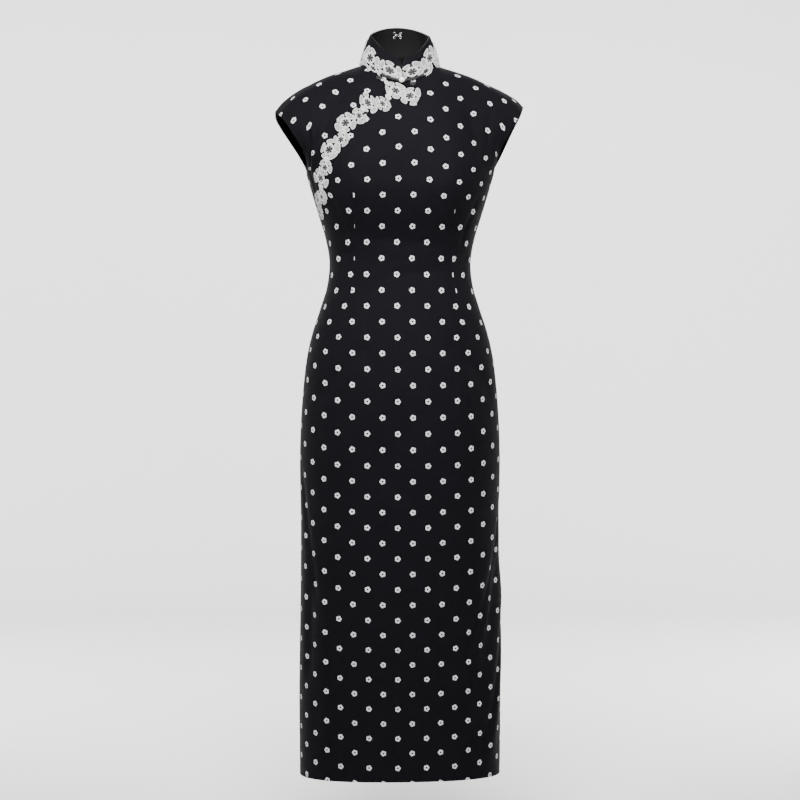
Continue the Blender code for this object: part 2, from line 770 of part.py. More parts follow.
def slant_lace(surface):
    """The lace that covers the slanted opening, one sheet on the front's outer face."""
    flowers = []
    for across, level, size, turn in SLANT_FLOWERS:
        stretch = np.array([local_scale(across, level) / ACROSS_METRES, level_scale(across, level)])
        flowers.append((np.array([across, level]) * PLACE_SCALE, stretch, size, turn))
    top = TOP_LEVEL - LACE_TOP_DROP
    border = np.array([(x, top) for x in np.linspace(-0.09, 0.06, 12)])
    places, triangles = lace_sheet(flowers, [border], lambda points: points[:, 1] < top)
    across, level = (places / PLACE_SCALE).T
    outer = off_body(FRONT, across, level, LACE_CLEAR + LACE)
    inner = off_body(FRONT, across, level, LACE_CLEAR)
    return wall("lace_slant", triangles, outer, inner, surface)


# The flowers of the collar lace: metres round from the middle front, height above the
# neck seam, size and turn.
COLLAR_FLOWERS = {
    RIGHT: [
        (0.0060, 0.0090, "bud", 0),
        (0.0206, 0.0130, "big", 18),
        (0.0440, 0.0075, "small", 50),
        (0.0564, 0.0185, "big", 30),
        (0.0780, 0.0085, "small", 10),
        (0.0950, 0.0195, "big", 60),
        (0.1165, 0.0090, "small", 35),
        (0.1335, 0.0200, "big", 5),
        (0.1545, 0.0090, "small", 22),
        (0.1700, 0.0200, "big", 48),
    ],
    LEFT: [
        (0.0130, 0.0130, "big", 54),
        (0.0340, 0.0075, "small", 14),
        (0.0495, 0.0205, "big", 36),
        (0.0710, 0.0085, "small", 62),
        (0.0885, 0.0195, "big", 20),
        (0.1100, 0.0090, "small", 40),
        (0.1275, 0.0200, "big", 66),
        (0.1485, 0.0090, "small", 28),
        (0.1665, 0.0195, "big", 0),
    ],
}
COLLAR_RUN = 0.178  # length of half the collar at the middle of its height
COLLAR_HEIGHT = 0.046
LACE_EDGE = 1.0 * MM


def collar_lace(name, hand, surface):
    flowers = [
        (np.array([run, height]), np.ones(2), size, turn)
        for run, height, size, turn in COLLAR_FLOWERS[hand]
    ]
    runs = np.linspace(LACE_EDGE, COLLAR_RUN - LACE_EDGE, 24)
    bottom = np.column_stack([runs, np.full(len(runs), LACE_EDGE)])
    ends = [
        np.column_stack([np.full(6, run), np.linspace(LACE_EDGE, 0.042, 6)])
        for run in (LACE_EDGE, COLLAR_RUN - LACE_EDGE)
    ]

    def allowed(points):
        x, y = points.T
        return (y > LACE_EDGE) & (x > LACE_EDGE) & (x < COLLAR_RUN - LACE_EDGE)

    places, triangles = lace_sheet(flowers, [bottom, *ends], allowed)
    share, height = places[:, 0] / COLLAR_RUN, places[:, 1] / COLLAR_HEIGHT
    share, height = np.clip(share, 0, 1), np.clip(height, 0, 1)
    outer = off_collar(hand, share, height, LACE_CLEAR + LACE)
    inner = off_collar(hand, share, height, LACE_CLEAR)
    faces = [t[::-1] for t in triangles] if hand < 0 else triangles
    return wall(name, faces, outer, inner, surface)


# ---- cord, knots and button ----
def tube(name, path, radius, sides, surface):
    """A round tube along a path of points, closed at both ends."""
    path = [Vector(point) for point in path]
    maker = bmesh.new()
    rings = []
    across = None
    for i, point in enumerate(path):
        along = (path[min(i + 1, len(path) - 1)] - path[max(i - 1, 0)]).normalized()
        if across is None:
            across = along.orthogonal().normalized()
        across = (across - along * across.dot(along)).normalized()
        up = along.cross(across)
        turns = [math.tau * side / sides for side in range(sides)]
        ring = [point + (across * math.cos(t) + up * math.sin(t)) * radius for t in turns]
        rings.append([maker.verts.new(corner) for corner in ring])
    for low, high in zip(rings, rings[1:]):
        for i in range(sides):
            j = (i + 1) % sides
            maker.faces.new([low[i], low[j], high[j], high[i]])
    maker.faces.new(list(reversed(rings[0])))
    maker.faces.new(rings[-1])
    bmesh.ops.recalc_face_normals(maker, faces=maker.faces)
    return finish(name, maker, surface)


CORD_LEVEL = TOP_LEVEL - 3.4 * MM
CORD_END_X = 0.036
PEARL_X = -0.002


def neck_cord(name, hand, surface):
    """The closing cord that lies along the neck seam from a knot to the button."""
    start = PEARL_RADIUS + 0.4 * CORD_RADIUS + hand * PEARL_X
    xs = np.linspace(start, CORD_END_X, 9)
    across = hand * NECK_ACROSS * np.arcsin(xs / NECK_HALF_WIDTH) / (math.pi / 2)
    path = off_body(FRONT, across, CORD_LEVEL, 0.6 * MM + CORD_RADIUS)
    return tube(name, path, CORD_RADIUS, 8, surface)


KNOT_RADIUS = 6.0 * MM
KNOT_THICKNESS = 2.6 * MM
KNOTS = {  # across and level of the middle of each, and its height above the cloth
    RIGHT: {"across": -0.157, "level": TOP_LEVEL - 13.5 * MM, "clear": 0.4 * MM},
    LEFT: {"across": 0.062, "level": TOP_LEVEL - 11.5 * MM, "clear": 0.4 * MM},
}


def place_on_body(side, across, level, out):
    """A frame on the cloth: X across, Y up along the cloth, Z out of it."""
    point = Vector(off_body(side, across, level, out))
    normal = Vector(body_normal(side, across, level))
    step = 2 * MM
    up = Vector(body(side, across, level) - body(side, across, level - step))
    up = (up - normal * up.dot(normal)).normalized()
    right = up.cross(normal)
    turn = Matrix((right, up, normal)).transposed().to_4x4()
    return Matrix.Translation(point) @ turn


def lobed_pad(name, radius, thickness, lobes, place, surface):
    """A low pad with a lobed outline and a domed top."""
    maker = bmesh.new()
    count = lobes * 4
    levels = [(0.0, 0.86), (0.35, 1.0), (0.75, 0.86), (1.0, 0.45)]
    rings = []
    for height, size in levels:
        ring = []
        for i in range(count):
            turn = math.tau * i / count
            reach = radius * size * (0.86 + 0.14 * math.cos(lobes * turn))
            ring.append(
                maker.verts.new((reach * math.cos(turn), reach * math.sin(turn), thickness * height))
            )
        rings.append(ring)
    for low, high in zip(rings, rings[1:]):
        for i in range(count):
            j = (i + 1) % count
            maker.faces.new([low[i], low[j], high[j], high[i]])
    maker.faces.new(list(reversed(rings[0])))
    maker.faces.new(rings[-1])
    made = finish(name, maker, surface)
    made.matrix_world = place
    return made


def pearl_button(surface):
    across = NECK_ACROSS * math.asin(PEARL_X / NECK_HALF_WIDTH) / (math.pi / 2)
    place = place_on_body(FRONT, across, CORD_LEVEL, PEARL_RADIUS * 0.92 + 0.7 * MM)
    maker = bmesh.new()
    bmesh.ops.create_uvsphere(maker, u_segments=16, v_segments=10, radius=PEARL_RADIUS)
    made = finish("pearl_button", maker, surface)
    made.matrix_world = place @ Matrix.Diagonal((1, 1, 0.9, 1))
    return made


# ---- hook and eye inside the collar ----
WIRE_RADIUS = 0.5 * MM
LOOP_RADIUS = 2.1 * MM
HOOK_HEIGHT = 0.76
INSIDE_RADIUS = 0.046  # the curve of the collar's inside at the middle back
INSIDE_OUT = -(COLLAR_CLOTH + SEAM_GAP + LINING_CLOTH)


def collar_inside_frame(height):
    """A frame at the middle back of the collar: X across, Y up, Z into the neck."""
    base = Vector(collar(LEFT, np.array(1.0), np.array(height)))
    base.x = 0.0
    step = 0.04
    up = Vector(collar(LEFT, np.array(1.0), np.array(height + step))) - Vector(
        collar(LEFT, np.array(1.0), np.array(height - step))
    )
    up.x = 0.0
    up.normalize()
    inwards = Vector((1, 0, 0)).cross(up)
    if inwards.y > 0:
        inwards.negate()
    clear = -INSIDE_OUT + 0.45 * MM + WIRE_RADIUS
    turn = Matrix((up.cross(inwards), up, inwards)).transposed().to_4x4()
    return Matrix.Translation(base + inwards * clear) @ turn


def wire_piece(name, outline, surface):
    frame = collar_inside_frame(HOOK_HEIGHT)
    bent = [Vector((x, y, z + x * x / (2 * INSIDE_RADIUS))) for x, y, z in outline]
    return tube(name, [frame @ point for point in bent], WIRE_RADIUS, 6, surface)


def arc(centre, radius, start, end, count):
    turns = np.radians(np.linspace(start, end, count))
    return [(centre[0] + radius * math.cos(t), centre[1] + radius * math.sin(t), 0.0) for t in turns]


def hook_and_eye(surface):
    """A wire hook on one half of the collar that grips a wire eye on the other."""
    reach = LOOP_RADIUS + WIRE_RADIUS + 0.35 * MM
    x = 5.2 * MM
    bill = 2.6 * MM
    hook = (
        arc((x, reach), LOOP_RADIUS, 255, -45, 9)
        + [(x - 4.0 * MM, 1.1 * MM, 0.3 * MM), (-bill, 0.9 * MM, 1.9 * MM)]
        + [(-bill - 0.9 * MM, 0.0, 2.1 * MM)]
        + [(-bill, -0.9 * MM, 1.9 * MM), (x - 4.0 * MM, -1.1 * MM, 0.3 * MM)]
        + arc((x, -reach), LOOP_RADIUS, 45, -255, 9)
    )
    eye_x = -5.4 * MM
    eye = (
        arc((eye_x, 3.9 * MM), LOOP_RADIUS * 0.8, -60, -330, 8)
        + arc((-3.1 * MM, 0.0), 2.1 * MM, 70, -70, 6)
        + arc((eye_x, -3.9 * MM), LOOP_RADIUS * 0.8, 330, 60, 8)
    )
    wire_piece("collar_hook", hook, surface)
    wire_piece("collar_eye", eye, surface)


# ---- zip slider and its pull tab ----
SLIDER_LEVEL = TOP_LEVEL - 9.0 * MM
SLIDER_SIZE = (5.0 * MM, 9.0 * MM, 2.0 * MM)
EAR_GAP = 3.6 * MM
EAR_THICKNESS = 0.9 * MM
PIN_RADIUS = 0.6 * MM
PIN_HEIGHT = 3.9 * MM
TAB_THICKNESS = 1.2 * MM
KNUCKLE_RADIUS = 1.5 * MM
RUNNING_GAP = 0.35 * MM
TAB_REST_TILT = 11.5  # degrees from the slider's face down to the cloth


def slider_frame():
    return place_on_body(BACK, 0.0, SLIDER_LEVEL, 0.4 * MM)


def block(name, size, centre):
    maker = bmesh.new()
    bmesh.ops.create_cube(maker, size=1.0)
    bmesh.ops.scale(maker, vec=size, verts=maker.verts)
    bmesh.ops.translate(maker, vec=centre, verts=maker.verts)
    mesh = bpy.data.meshes.new(name)
    maker.to_mesh(mesh)
    maker.free()
    made = bpy.data.objects.new(name, mesh)
    bpy.context.scene.collection.objects.link(made)
    return made


def rod_x(name, radius, length, centre, sides=16):
    """A round rod along X."""
    maker = bmesh.new()
    turn = Matrix.Rotation(math.pi / 2, 4, "Y")
    bmesh.ops.create_cone(
        maker, segments=sides, radius1=radius, radius2=radius, depth=length, cap_ends=True, matrix=turn
    )
    bmesh.ops.translate(maker, vec=centre, verts=maker.verts)
    mesh = bpy.data.meshes.new(name)
    maker.to_mesh(mesh)
    maker.free()
    made = bpy.data.objects.new(name, mesh)
    bpy.context.scene.collection.objects.link(made)
    return made


def combine(target, helper, operation):
    """Adds an exact Boolean and keeps the helper out of the part."""
    helper.hide_render = True
    helper.display_type = "WIRE"
    helper.parent = target
    modifier = target.modifiers.new(operation.title(), "BOOLEAN")
    modifier.operation = operation
    modifier.solver = "EXACT"
    modifier.object = helper


def zip_slider(metal):
    thickness = SLIDER_SIZE[2]
    slider = block("zip_slider", SLIDER_SIZE, (0, 0, thickness / 2))
    slider.data.materials.append(metal)
    for hand in (RIGHT, LEFT):
        middle = hand * (EAR_GAP + EAR_THICKNESS) / 2
        ear = block(
            "zip_ear_%s" % ("right" if hand < 0 else "left"),
            (EAR_THICKNESS, 3.2 * MM, PIN_HEIGHT + 1.2 * MM),
            (middle, 0, (PIN_HEIGHT + 1.2 * MM) / 2 + 0.3 * MM),
        )
        combine(slider, ear, "UNION")
    pin = rod_x("zip_pin", PIN_RADIUS, EAR_GAP + EAR_THICKNESS, (0, 0, PIN_HEIGHT))
    combine(slider, pin, "UNION")
    slider.matrix_world = slider_frame()
    return slider


def pull_tab(metal):
    """The tab, with its own origin on the hinge line and hanging along the cloth."""
    maker = bmesh.new()
    outline = [
        (1.35, -0.2),
        (1.35, -4.0),
        (2.9, -8.0),
        (3.1, -20.0),
        (2.2, -23.0),
        (0.0, -24.0),
    ]
    right = [(x * MM, y * MM) for x, y in outline]
    left = [(-x, y) for x, y in reversed(right[:-1])]
    ring = right + left
    low = [maker.verts.new((x, y, -TAB_THICKNESS / 2)) for x, y in ring]
    high = [maker.verts.new((x, y, TAB_THICKNESS / 2)) for x, y in ring]
    maker.faces.new(low)
    maker.faces.new(list(reversed(high)))
    count = len(ring)
    for i in range(count):
        j = (i + 1) % count
        maker.faces.new([low[j], low[i], high[i], high[j]])
    bmesh.ops.recalc_face_normals(maker, faces=maker.faces)
    tab = finish("zip_pull_tab", maker, metal)
    knuckle = rod_x("zip_knuckle", KNUCKLE_RADIUS, EAR_GAP - 2 * RUNNING_GAP, (0, 0, 0))
    combine(tab, knuckle, "UNION")
    bore = rod_x("zip_bore", PIN_RADIUS + RUNNING_GAP, EAR_GAP * 2, (0, 0, 0))
    combine(tab, bore, "DIFFERENCE")
    hinge = slider_frame() @ Matrix.Translation((0, 0, PIN_HEIGHT))
    tab.matrix_world = hinge @ Matrix.Rotation(math.radians(TAB_REST_TILT), 4, "X")
    return tab


def build():
    clear_scene()
    sateen = material("charcoal_sateen", (0.018, 0.017, 0.023), 0.55)
    lining = material("lining", (0.045, 0.040, 0.038), 0.75)
    lace = material("lace", (0.72, 0.71, 0.70), 0.85)
    cord = material("cord", (0.008, 0.008, 0.009), 0.6)
    pearl = material("pearl", (0.85, 0.83, 0.80), 0.2)
    metal = material("metal", (0.72, 0.72, 0.74), 0.25, 1.0)

    front = front_panels(sateen)
    inset = COLLAR_CLOTH + SEAM_GAP
    for hand, word in ((RIGHT, "right"), (LEFT, "left")):
        back = back_panel("back_" + word, hand, sateen)
        collar_half("collar_" + word, hand, 0.0, COLLAR_CLOTH, 0.0, 1.0, sateen)
        collar_half("collar_lining_" + word, hand, inset, LINING_CLOTH, 0.03, 0.985, lining)
        collar_lace("lace_collar_" + word, hand, lace)
        armhole_facing("armhole_facing_front_" + word, FRONT, hand, *front, lining)
        armhole_facing("armhole_facing_back_" + word, BACK, hand, *back, lining)
        neck_cord("neck_cord_" + word, hand, cord)
        knot = KNOTS[hand]
        place = place_on_body(FRONT, knot["across"], knot["level"], knot["clear"])
        lobed_pad("frog_knot_" + word, KNOT_RADIUS, KNOT_THICKNESS, 5, place, cord)
    slant_lace(lace)
    pearl_button(pearl)
    hook_and_eye(metal)
    zip_slider(metal)
    pull_tab(metal)


build()
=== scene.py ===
import math

import bpy
import numpy as np
from mathutils import Matrix, Vector


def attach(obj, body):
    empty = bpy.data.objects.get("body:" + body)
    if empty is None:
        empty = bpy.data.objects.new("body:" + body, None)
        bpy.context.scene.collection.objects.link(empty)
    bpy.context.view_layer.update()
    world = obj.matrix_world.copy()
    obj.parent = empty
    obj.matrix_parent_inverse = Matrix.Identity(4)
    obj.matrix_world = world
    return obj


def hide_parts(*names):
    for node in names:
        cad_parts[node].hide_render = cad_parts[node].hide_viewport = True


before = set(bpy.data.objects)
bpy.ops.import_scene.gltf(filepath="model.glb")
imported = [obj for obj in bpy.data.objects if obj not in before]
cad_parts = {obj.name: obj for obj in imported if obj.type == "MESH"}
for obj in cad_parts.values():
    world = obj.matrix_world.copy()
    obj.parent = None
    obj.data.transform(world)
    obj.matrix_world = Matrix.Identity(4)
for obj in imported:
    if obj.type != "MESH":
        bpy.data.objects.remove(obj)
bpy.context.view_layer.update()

bl_info = {
    "name": "Long cheongsam",
    "version": (1, 0, 0),
    "blender": (4, 5, 0),
    "location": "3D View > Sidebar > Cheongsam",
    "description": "Cuts, folds, trims and lights a hollow cheongsam on its CAD frame",
    "category": "Object",
}

# Metres, +Z up, the front faces -Y and +X is the wearer's left. A place on the body is
# (side, across, level): across runs from -1 at the wearer's right edge of a panel to 1 at
# its left edge. level is the height up to the underarm, and above it goes on over the
# chest to TOP_LEVEL, which is the shoulder seam and the neckline.
MM = 0.001
FRONT, BACK = -1, 1
RIGHT, LEFT = -1, 1  # the wearer's own sides

# ---- driving sizes, in metres ----
HEM_Z = -1.200
UNDERARM_Z = -0.187
UPPER_SPAN = 0.160  # levels between the underarm and the shoulder seam
TOP_LEVEL = UNDERARM_Z + UPPER_SPAN
COLLAR_CLOTH = 1.2 * MM
LINING_CLOTH = 0.9 * MM
SEAM_GAP = 0.3 * MM
SEAM_LINE = 0.02 * MM  # what stays open between two pieces where they are sewn
SECTION_SQUARENESS = 0.03  # how far a section bulges out past an ellipse at its corners

NECK_HALF_WIDTH = 0.068
NECK_FRONT_Y, NECK_SIDE_Y, NECK_BACK_Y = -0.055, 0.008, 0.062
NECK_FRONT_Z, NECK_BACK_Z = -0.032, 0.021
NECK_ACROSS = 0.40  # share of a panel's top edge that is neckline
SHOULDER_TIP_X, SHOULDER_TIP_Y = 0.212, 0.004

RIM_HALF_WIDTH = 0.051
RIM_FRONT_Y, RIM_SIDE_Y, RIM_BACK_Y = -0.047, 0.006, 0.053
RIM_FRONT_Z, RIM_SIDE_Z, RIM_BACK_Z = 0.007, 0.053, 0.074
COLLAR_BULGE = 1.5 * MM
NOTCH_FROM = 0.50  # share of the collar's height where its front edges part
NOTCH_HALF_GAP = 7.0 * MM

LACE_CLEAR = 0.5 * MM
CORD_RADIUS = 2.2 * MM
PEARL_RADIUS = 5.0 * MM


def table(columns, rows):
    """Rows of millimetres as a dictionary of metre arrays, one for each named column."""
    values = np.array(rows, float).T * MM
    return dict(zip(columns.split(), values))


# Sections of the body, from the hem to the underarm.
BODY = table(
    "z half_width front_depth back_depth",
    [
        (-1200, 170, 101, 107),
        (-1050, 171, 103, 109),
        (-900, 169, 105, 112),
        (-760, 168.5, 107, 115),
        (-660, 170, 109, 118),
        (-600, 168, 110, 119),
        (-540, 163.5, 109, 118),
        (-495, 158, 106, 113),
        (-455, 149, 101, 106),
        (-415, 136, 95, 96),
        (-375, 124, 89, 85),
        (-335, 120, 87, 79),
        (-295, 126, 93, 81),
        (-255, 137, 106, 89),
        (-215, 149, 114, 97),
        (-187, 158, 113, 100),
    ],
)

# The shoulder line of each side, from the neck to the tip of the cap sleeve.
SHOULDER = table(
    "x right_z left_z",
    [
        (68, 1, 1),
        (92, -8, -7),
        (125, -19, -18),
        (150, -31, -29),
        (172, -43, -39),
        (190, -56, -49),
        (203, -68, -58),
        (212, -80, -68),
    ],
)

# The edges of the armhole, by their share of the height from the underarm to the tip.
ARMHOLE_SHARE = np.array([0.0, 0.11, 0.32, 0.60, 0.80, 0.92, 1.0])
ARMHOLE = table(
    "front_x front_y back_right_x back_left_x back_y",
    [
        (158, 0, 158, 158, 0),
        (158.5, -27, 159, 164, 26),
        (166, -46, 169, 178, 46),
        (184, -49, 188, 194, 50),
        (197, -38, 203, 205, 42),
        (206, -22, 211, 211, 26),
        (212, 4, 212, 212, 4),
    ],
)

# Soft fullness of the bust, on a general figure.
BUST_X, BUST_Z = 0.086, -0.212
BUST_SPREAD_X, BUST_SPREAD_Z = 0.052, 0.058
BUST_RISE = 7.0 * MM


def smooth(xs, ys, x):
    """A smooth curve through the points (xs, ys), read at x."""
    slopes = np.gradient(ys, xs)
    x = np.clip(x, xs[0], xs[-1])
    i = np.clip(np.searchsorted(xs, x, side="right") - 1, 0, len(xs) - 2)
    step = xs[i + 1] - xs[i]
    t = (x - xs[i]) / step
    return hermite(ys[i], ys[i + 1], slopes[i] * step, slopes[i + 1] * step, t)


def hermite(start, end, start_tangent, end_tangent, t):
    return (
        (2 * t**3 - 3 * t**2 + 1) * start
        + (t**3 - 2 * t**2 + t) * start_tangent
        + (3 * t**2 - 2 * t**3) * end
        + (t**3 - t**2) * end_tangent
    )


def ease(t):
    t = np.clip(t, 0.0, 1.0)
    return t * t * (3 - 2 * t)


def xyz(x, y, z):
    return np.stack(np.broadcast_arrays(x, y, z), axis=-1).astype(float)


# ---- the largest folds of the cloth ----
# Each is a soft valley from one place to another: across at its two ends, z at its two ends,
# its half width and its depth. A negative depth is a ridge.
FOLDS = {
    FRONT: [
        ((0.80, 0.44), (-0.835, -1.100), 0.015, 6.0 * MM),
        ((0.98, 0.62), (-0.860, -1.150), 0.020, -4.0 * MM),
        ((-0.71, -0.72), (-0.860, -1.030), 0.014, 4.0 * MM),
        ((0.20, 0.50), (-0.815, -0.945), 0.018, 2.5 * MM),
        ((0.48, 0.51), (-0.070, -0.155), 0.010, 2.5 * MM),
        ((0.76, 0.66), (-0.085, -0.140), 0.010, 2.0 * MM),
        ((-0.86, -0.85), (-0.066, -0.150), 0.010, 2.0 * MM),
    ],
    BACK: [
        ((-0.80, -0.55), (-0.870, -1.120), 0.018, 5.5 * MM),
        ((0.74, 0.80), (-0.900, -1.080), 0.016, 4.0 * MM),
        ((-0.60, 0.60), (-0.395, -0.405), 0.014, 2.0 * MM),
        ((0.48, 0.60), (-0.060, -0.160), 0.011, 2.5 * MM),
        ((-0.46, -0.60), (-0.060, -0.160), 0.011, 2.0 * MM),
    ],
}
ACROSS_METRES = 0.21  # about the length of half a panel, to measure folds in metres
PLACE_SCALE = np.array([ACROSS_METRES, 1.0])  # turns (across, level) into about metres of cloth


def valleys(folds, across, z):
    """How far these folds take the cloth inwards at this place."""
    total = np.zeros(np.broadcast(across, z).shape)
    for places, (z0, z1), half_width, depth in folds:
        x0, x1 = (value * ACROSS_METRES for value in places)
        length = math.hypot(x1 - x0, z1 - z0)
        along_x, along_z = (x1 - x0) / length, (z1 - z0) / length
        dx, dz = across * ACROSS_METRES - x0, z - z0
        along = (dx * along_x + dz * along_z) / length
        aside = dx * along_z - dz * along_x
        fade = ease(along / 0.3 + 0.5) * ease((1 - along) / 0.3 + 0.5)
        total = total + depth * fade * np.exp(-((aside / half_width) ** 2))
    return total


def fold_depth(side, across, z):
    return valleys(FOLDS[side], across, z)


# ---- the surface of the body ----
def section(side, across, z):
    """The outline of the skirt and bodice at one height, up to the underarm."""
    angle = across * math.pi / 2
    k = SECTION_SQUARENESS
    half_width = smooth(BODY["z"], BODY["half_width"], z)
    depth = smooth(BODY["z"], BODY["front_depth" if side == FRONT else "back_depth"], z)
    x = half_width * (np.sin(angle) + k * np.sin(3 * angle)) / (1 - k)
    y = side * depth * (np.cos(angle) - k * np.cos(3 * angle)) / (1 - k)
    return xyz(x, y, z)


def neck_ring(angle):
    """The neck seam, by its angle from the middle front (0) round the wearer's left side."""
    cos = np.cos(angle)
    front = np.clip(cos, 0, None)
    back = np.clip(-cos, 0, None)
    x = NECK_HALF_WIDTH * np.sin(angle)
    y = NECK_SIDE_Y + (NECK_FRONT_Y - NECK_SIDE_Y) * front + (NECK_BACK_Y - NECK_SIDE_Y) * back
    z = NECK_FRONT_Z * front**2.6 + NECK_BACK_Z * back**1.4
    return xyz(x, y, z)


def rim_ring(angle):
    """The top edge of the collar, by the same angle."""
    cos = np.cos(angle)
    front = np.clip(cos, 0, None)
    back = np.clip(-cos, 0, None)
    x = RIM_HALF_WIDTH * np.sin(angle)
    y = RIM_SIDE_Y + (RIM_FRONT_Y - RIM_SIDE_Y) * front + (RIM_BACK_Y - RIM_SIDE_Y) * back
    z = RIM_SIDE_Z + (RIM_FRONT_Z - RIM_SIDE_Z) * front**1.7 + (RIM_BACK_Z - RIM_SIDE_Z) * back**1.4
    return xyz(x, y, z)


def top_edge(side, across):
    """The shoulder seam and, between the shoulders, the neckline."""
    out = np.abs(across)
    hand = np.where(across < 0, RIGHT, LEFT)
    quarter = np.clip(out / NECK_ACROSS, 0, 1) * math.pi / 2
    neck = neck_ring(quarter if side == FRONT else math.pi - quarter)
    share = np.clip((out - NECK_ACROSS) / (1 - NECK_ACROSS), 0, 1)
    x = NECK_HALF_WIDTH + (SHOULDER_TIP_X - NECK_HALF_WIDTH) * share
    z = np.where(
        hand < 0,
        smooth(SHOULDER["x"], SHOULDER["right_z"], x),
        smooth(SHOULDER["x"], SHOULDER["left_z"], x),
    ) - SHOULDER["right_z"][0] * (1 - share)
    y = NECK_SIDE_Y + (SHOULDER_TIP_Y - NECK_SIDE_Y) * share
    edge = np.where((out < NECK_ACROSS)[..., None], neck, xyz(x, y, z))
    return edge * xyz(hand, 1, 1)


def armhole_edge(side, hand, t):
    """The free edge of the cap sleeve, from the underarm (0) to the shoulder tip (1)."""
    name = "front" if side == FRONT else "back"
    own_x = "front_x" if side == FRONT else "back_%s_x" % ("right" if hand < 0 else "left")
    share = 0.5 * t + 0.5 * ease(t)
    tip = top_edge(side, hand * 1.0)
    z = UNDERARM_Z + (tip[..., 2] - UNDERARM_Z) * share
    x = hand * smooth(ARMHOLE_SHARE, ARMHOLE[own_x], share)
    return xyz(x, smooth(ARMHOLE_SHARE, ARMHOLE[name + "_y"], share), z)


CHEST_PULL = {FRONT: 0.200, BACK: 0.190}  # how stiffly the cloth leaves the shoulder
CORNER_REACH = 0.17  # how widely the corner between neck and shoulder seam is rounded below
CORNER_OPENS = 0.75  # and how fast that width grows below the seams
NECK_SLOPE = {FRONT: math.radians(50), BACK: math.radians(52)}


def rounded(values, across, reach):
    """Averages a function of across over a short stretch, which rounds off its corners. The
    stretch shrinks to nothing towards the panel's side edges."""
    reach = np.minimum(reach, 1 - np.abs(across))
    if not reach.any():
        return values(across)
    shares = (np.arange(7) - 3) / 4
    weights = np.cos(shares * math.pi / 2) ** 2
    weights /= weights.sum()
    return sum(weight * values(across + reach * share) for weight, share in zip(weights, shares))


def chest(side, across, t):
    """The part above the underarm: t is 0 at the underarm and 1 at the top edge."""
    probe = 4 * MM
    start = section(side, across, UNDERARM_Z)
    rise = (start - section(side, across, UNDERARM_Z - probe)) / probe * UPPER_SPAN
    reach = np.clip(CORNER_OPENS * (1 - t), 0, CORNER_REACH)
    end = rounded(lambda place: top_edge(side, place), across, reach)
    lean = rounded(
        lambda place: np.cos(np.clip(np.abs(place) / NECK_ACROSS, 0, 1) * math.pi / 2),
        across,
        np.full(np.shape(across), CORNER_REACH),
    )
    slope = NECK_SLOPE[side] * lean
    over = CHEST_PULL[side] * xyz(0, -side * np.cos(slope), np.sin(slope))
    return hermite(start, end, rise, over, t[..., None])


def body(side, across, level):
    """A point of the cloth's outer face."""
    across, level = np.broadcast_arrays(np.asarray(across, float), np.asarray(level, float))
    t = np.clip((level - UNDERARM_Z) / UPPER_SPAN, 0, 1)
    low = section(side, across, np.minimum(level, UNDERARM_Z))
    high = chest(side, across, t)
    for hand in (RIGHT, LEFT):
        pull = armhole_edge(side, hand, t) - chest(side, np.full(t.shape, float(hand)), t)
        weight = ease((hand * across - 0.50) / 0.50)
        high = high + weight[..., None] * pull
    point = np.where((t > 0)[..., None], high, low)
    bust = BUST_RISE * np.exp(
        -(((np.abs(point[..., 0]) - BUST_X) / BUST_SPREAD_X) ** 2)
        - ((point[..., 2] - BUST_Z) / BUST_SPREAD_Z) ** 2
    )
    inward = fold_depth(side, across, point[..., 2])
    swell = (bust if side == FRONT else 0.0) - inward
    outwards = np.stack([point[..., 0], point[..., 1] * 1.5, 0 * t], axis=-1)
    outwards /= np.linalg.norm(outwards, axis=-1, keepdims=True) + 1e-9
    return point + outwards * (swell * (1 - ease(t * 1.25 - 0.25)))[..., None]


def unit(vectors):
    return vectors / np.linalg.norm(vectors, axis=-1, keepdims=True)


def body_normal(side, across, level):
    """The direction out of the cloth. At a seam both panels give the same one."""
    step_across, step_level = 0.004, 0.0008
    across, level = np.broadcast_arrays(np.asarray(across, float), np.asarray(level, float))
    a0, a1 = np.clip(across - step_across, -1, 1), np.clip(across + step_across, -1, 1)
    l0 = np.clip(level - step_level, HEM_Z, TOP_LEVEL)
    l1 = np.clip(level + step_level, HEM_Z, TOP_LEVEL)
    along_across = body(side, a1, level) - body(side, a0, level)
    along_level = body(side, across, l1) - body(side, across, l0)
    normal = -side * np.cross(along_across, along_level)
    at_side = (np.abs(across) > 0.999) & (level < UNDERARM_Z + 1e-6)
    at_shoulder = (level > TOP_LEVEL - 1e-6) & (np.abs(across) > NECK_ACROSS - 1e-6)
    normal[..., 1] = np.where(at_side | at_shoulder, 0.0, normal[..., 1])
    return unit(normal)


def off_body(side, across, level, out):
    """A point of the cloth moved out along its normal, or in where out is negative."""
    return body(side, across, level) + body_normal(side, across, level) * np.asarray(out)[..., None]


# ---- the surface of the collar ----
def collar(hand, share, height):
    """share runs from the middle front (0) to the middle back (1), height from seam to rim."""
    parting = NOTCH_HALF_GAP * np.clip((height - NOTCH_FROM) / (1 - NOTCH_FROM), 0, 1) ** 1.7
    start = (SEAM_LINE / 2 + parting) / RIM_HALF_WIDTH
    end = math.pi - SEAM_LINE / 2 / RIM_HALF_WIDTH
    angle = start + (end - start) * share
    low, high = neck_ring(angle), rim_ring(angle)
    lift = SEAM_LINE / 0.045
    height = (lift + (1 - lift) * height)[..., None]
    point = low + (high - low) * height
    outwards = unit(xyz(np.sin(angle), -np.cos(angle), 0.0))
    point = point + outwards * COLLAR_BULGE * np.sin(math.pi * height)
    return point * xyz(hand, 1, 1)


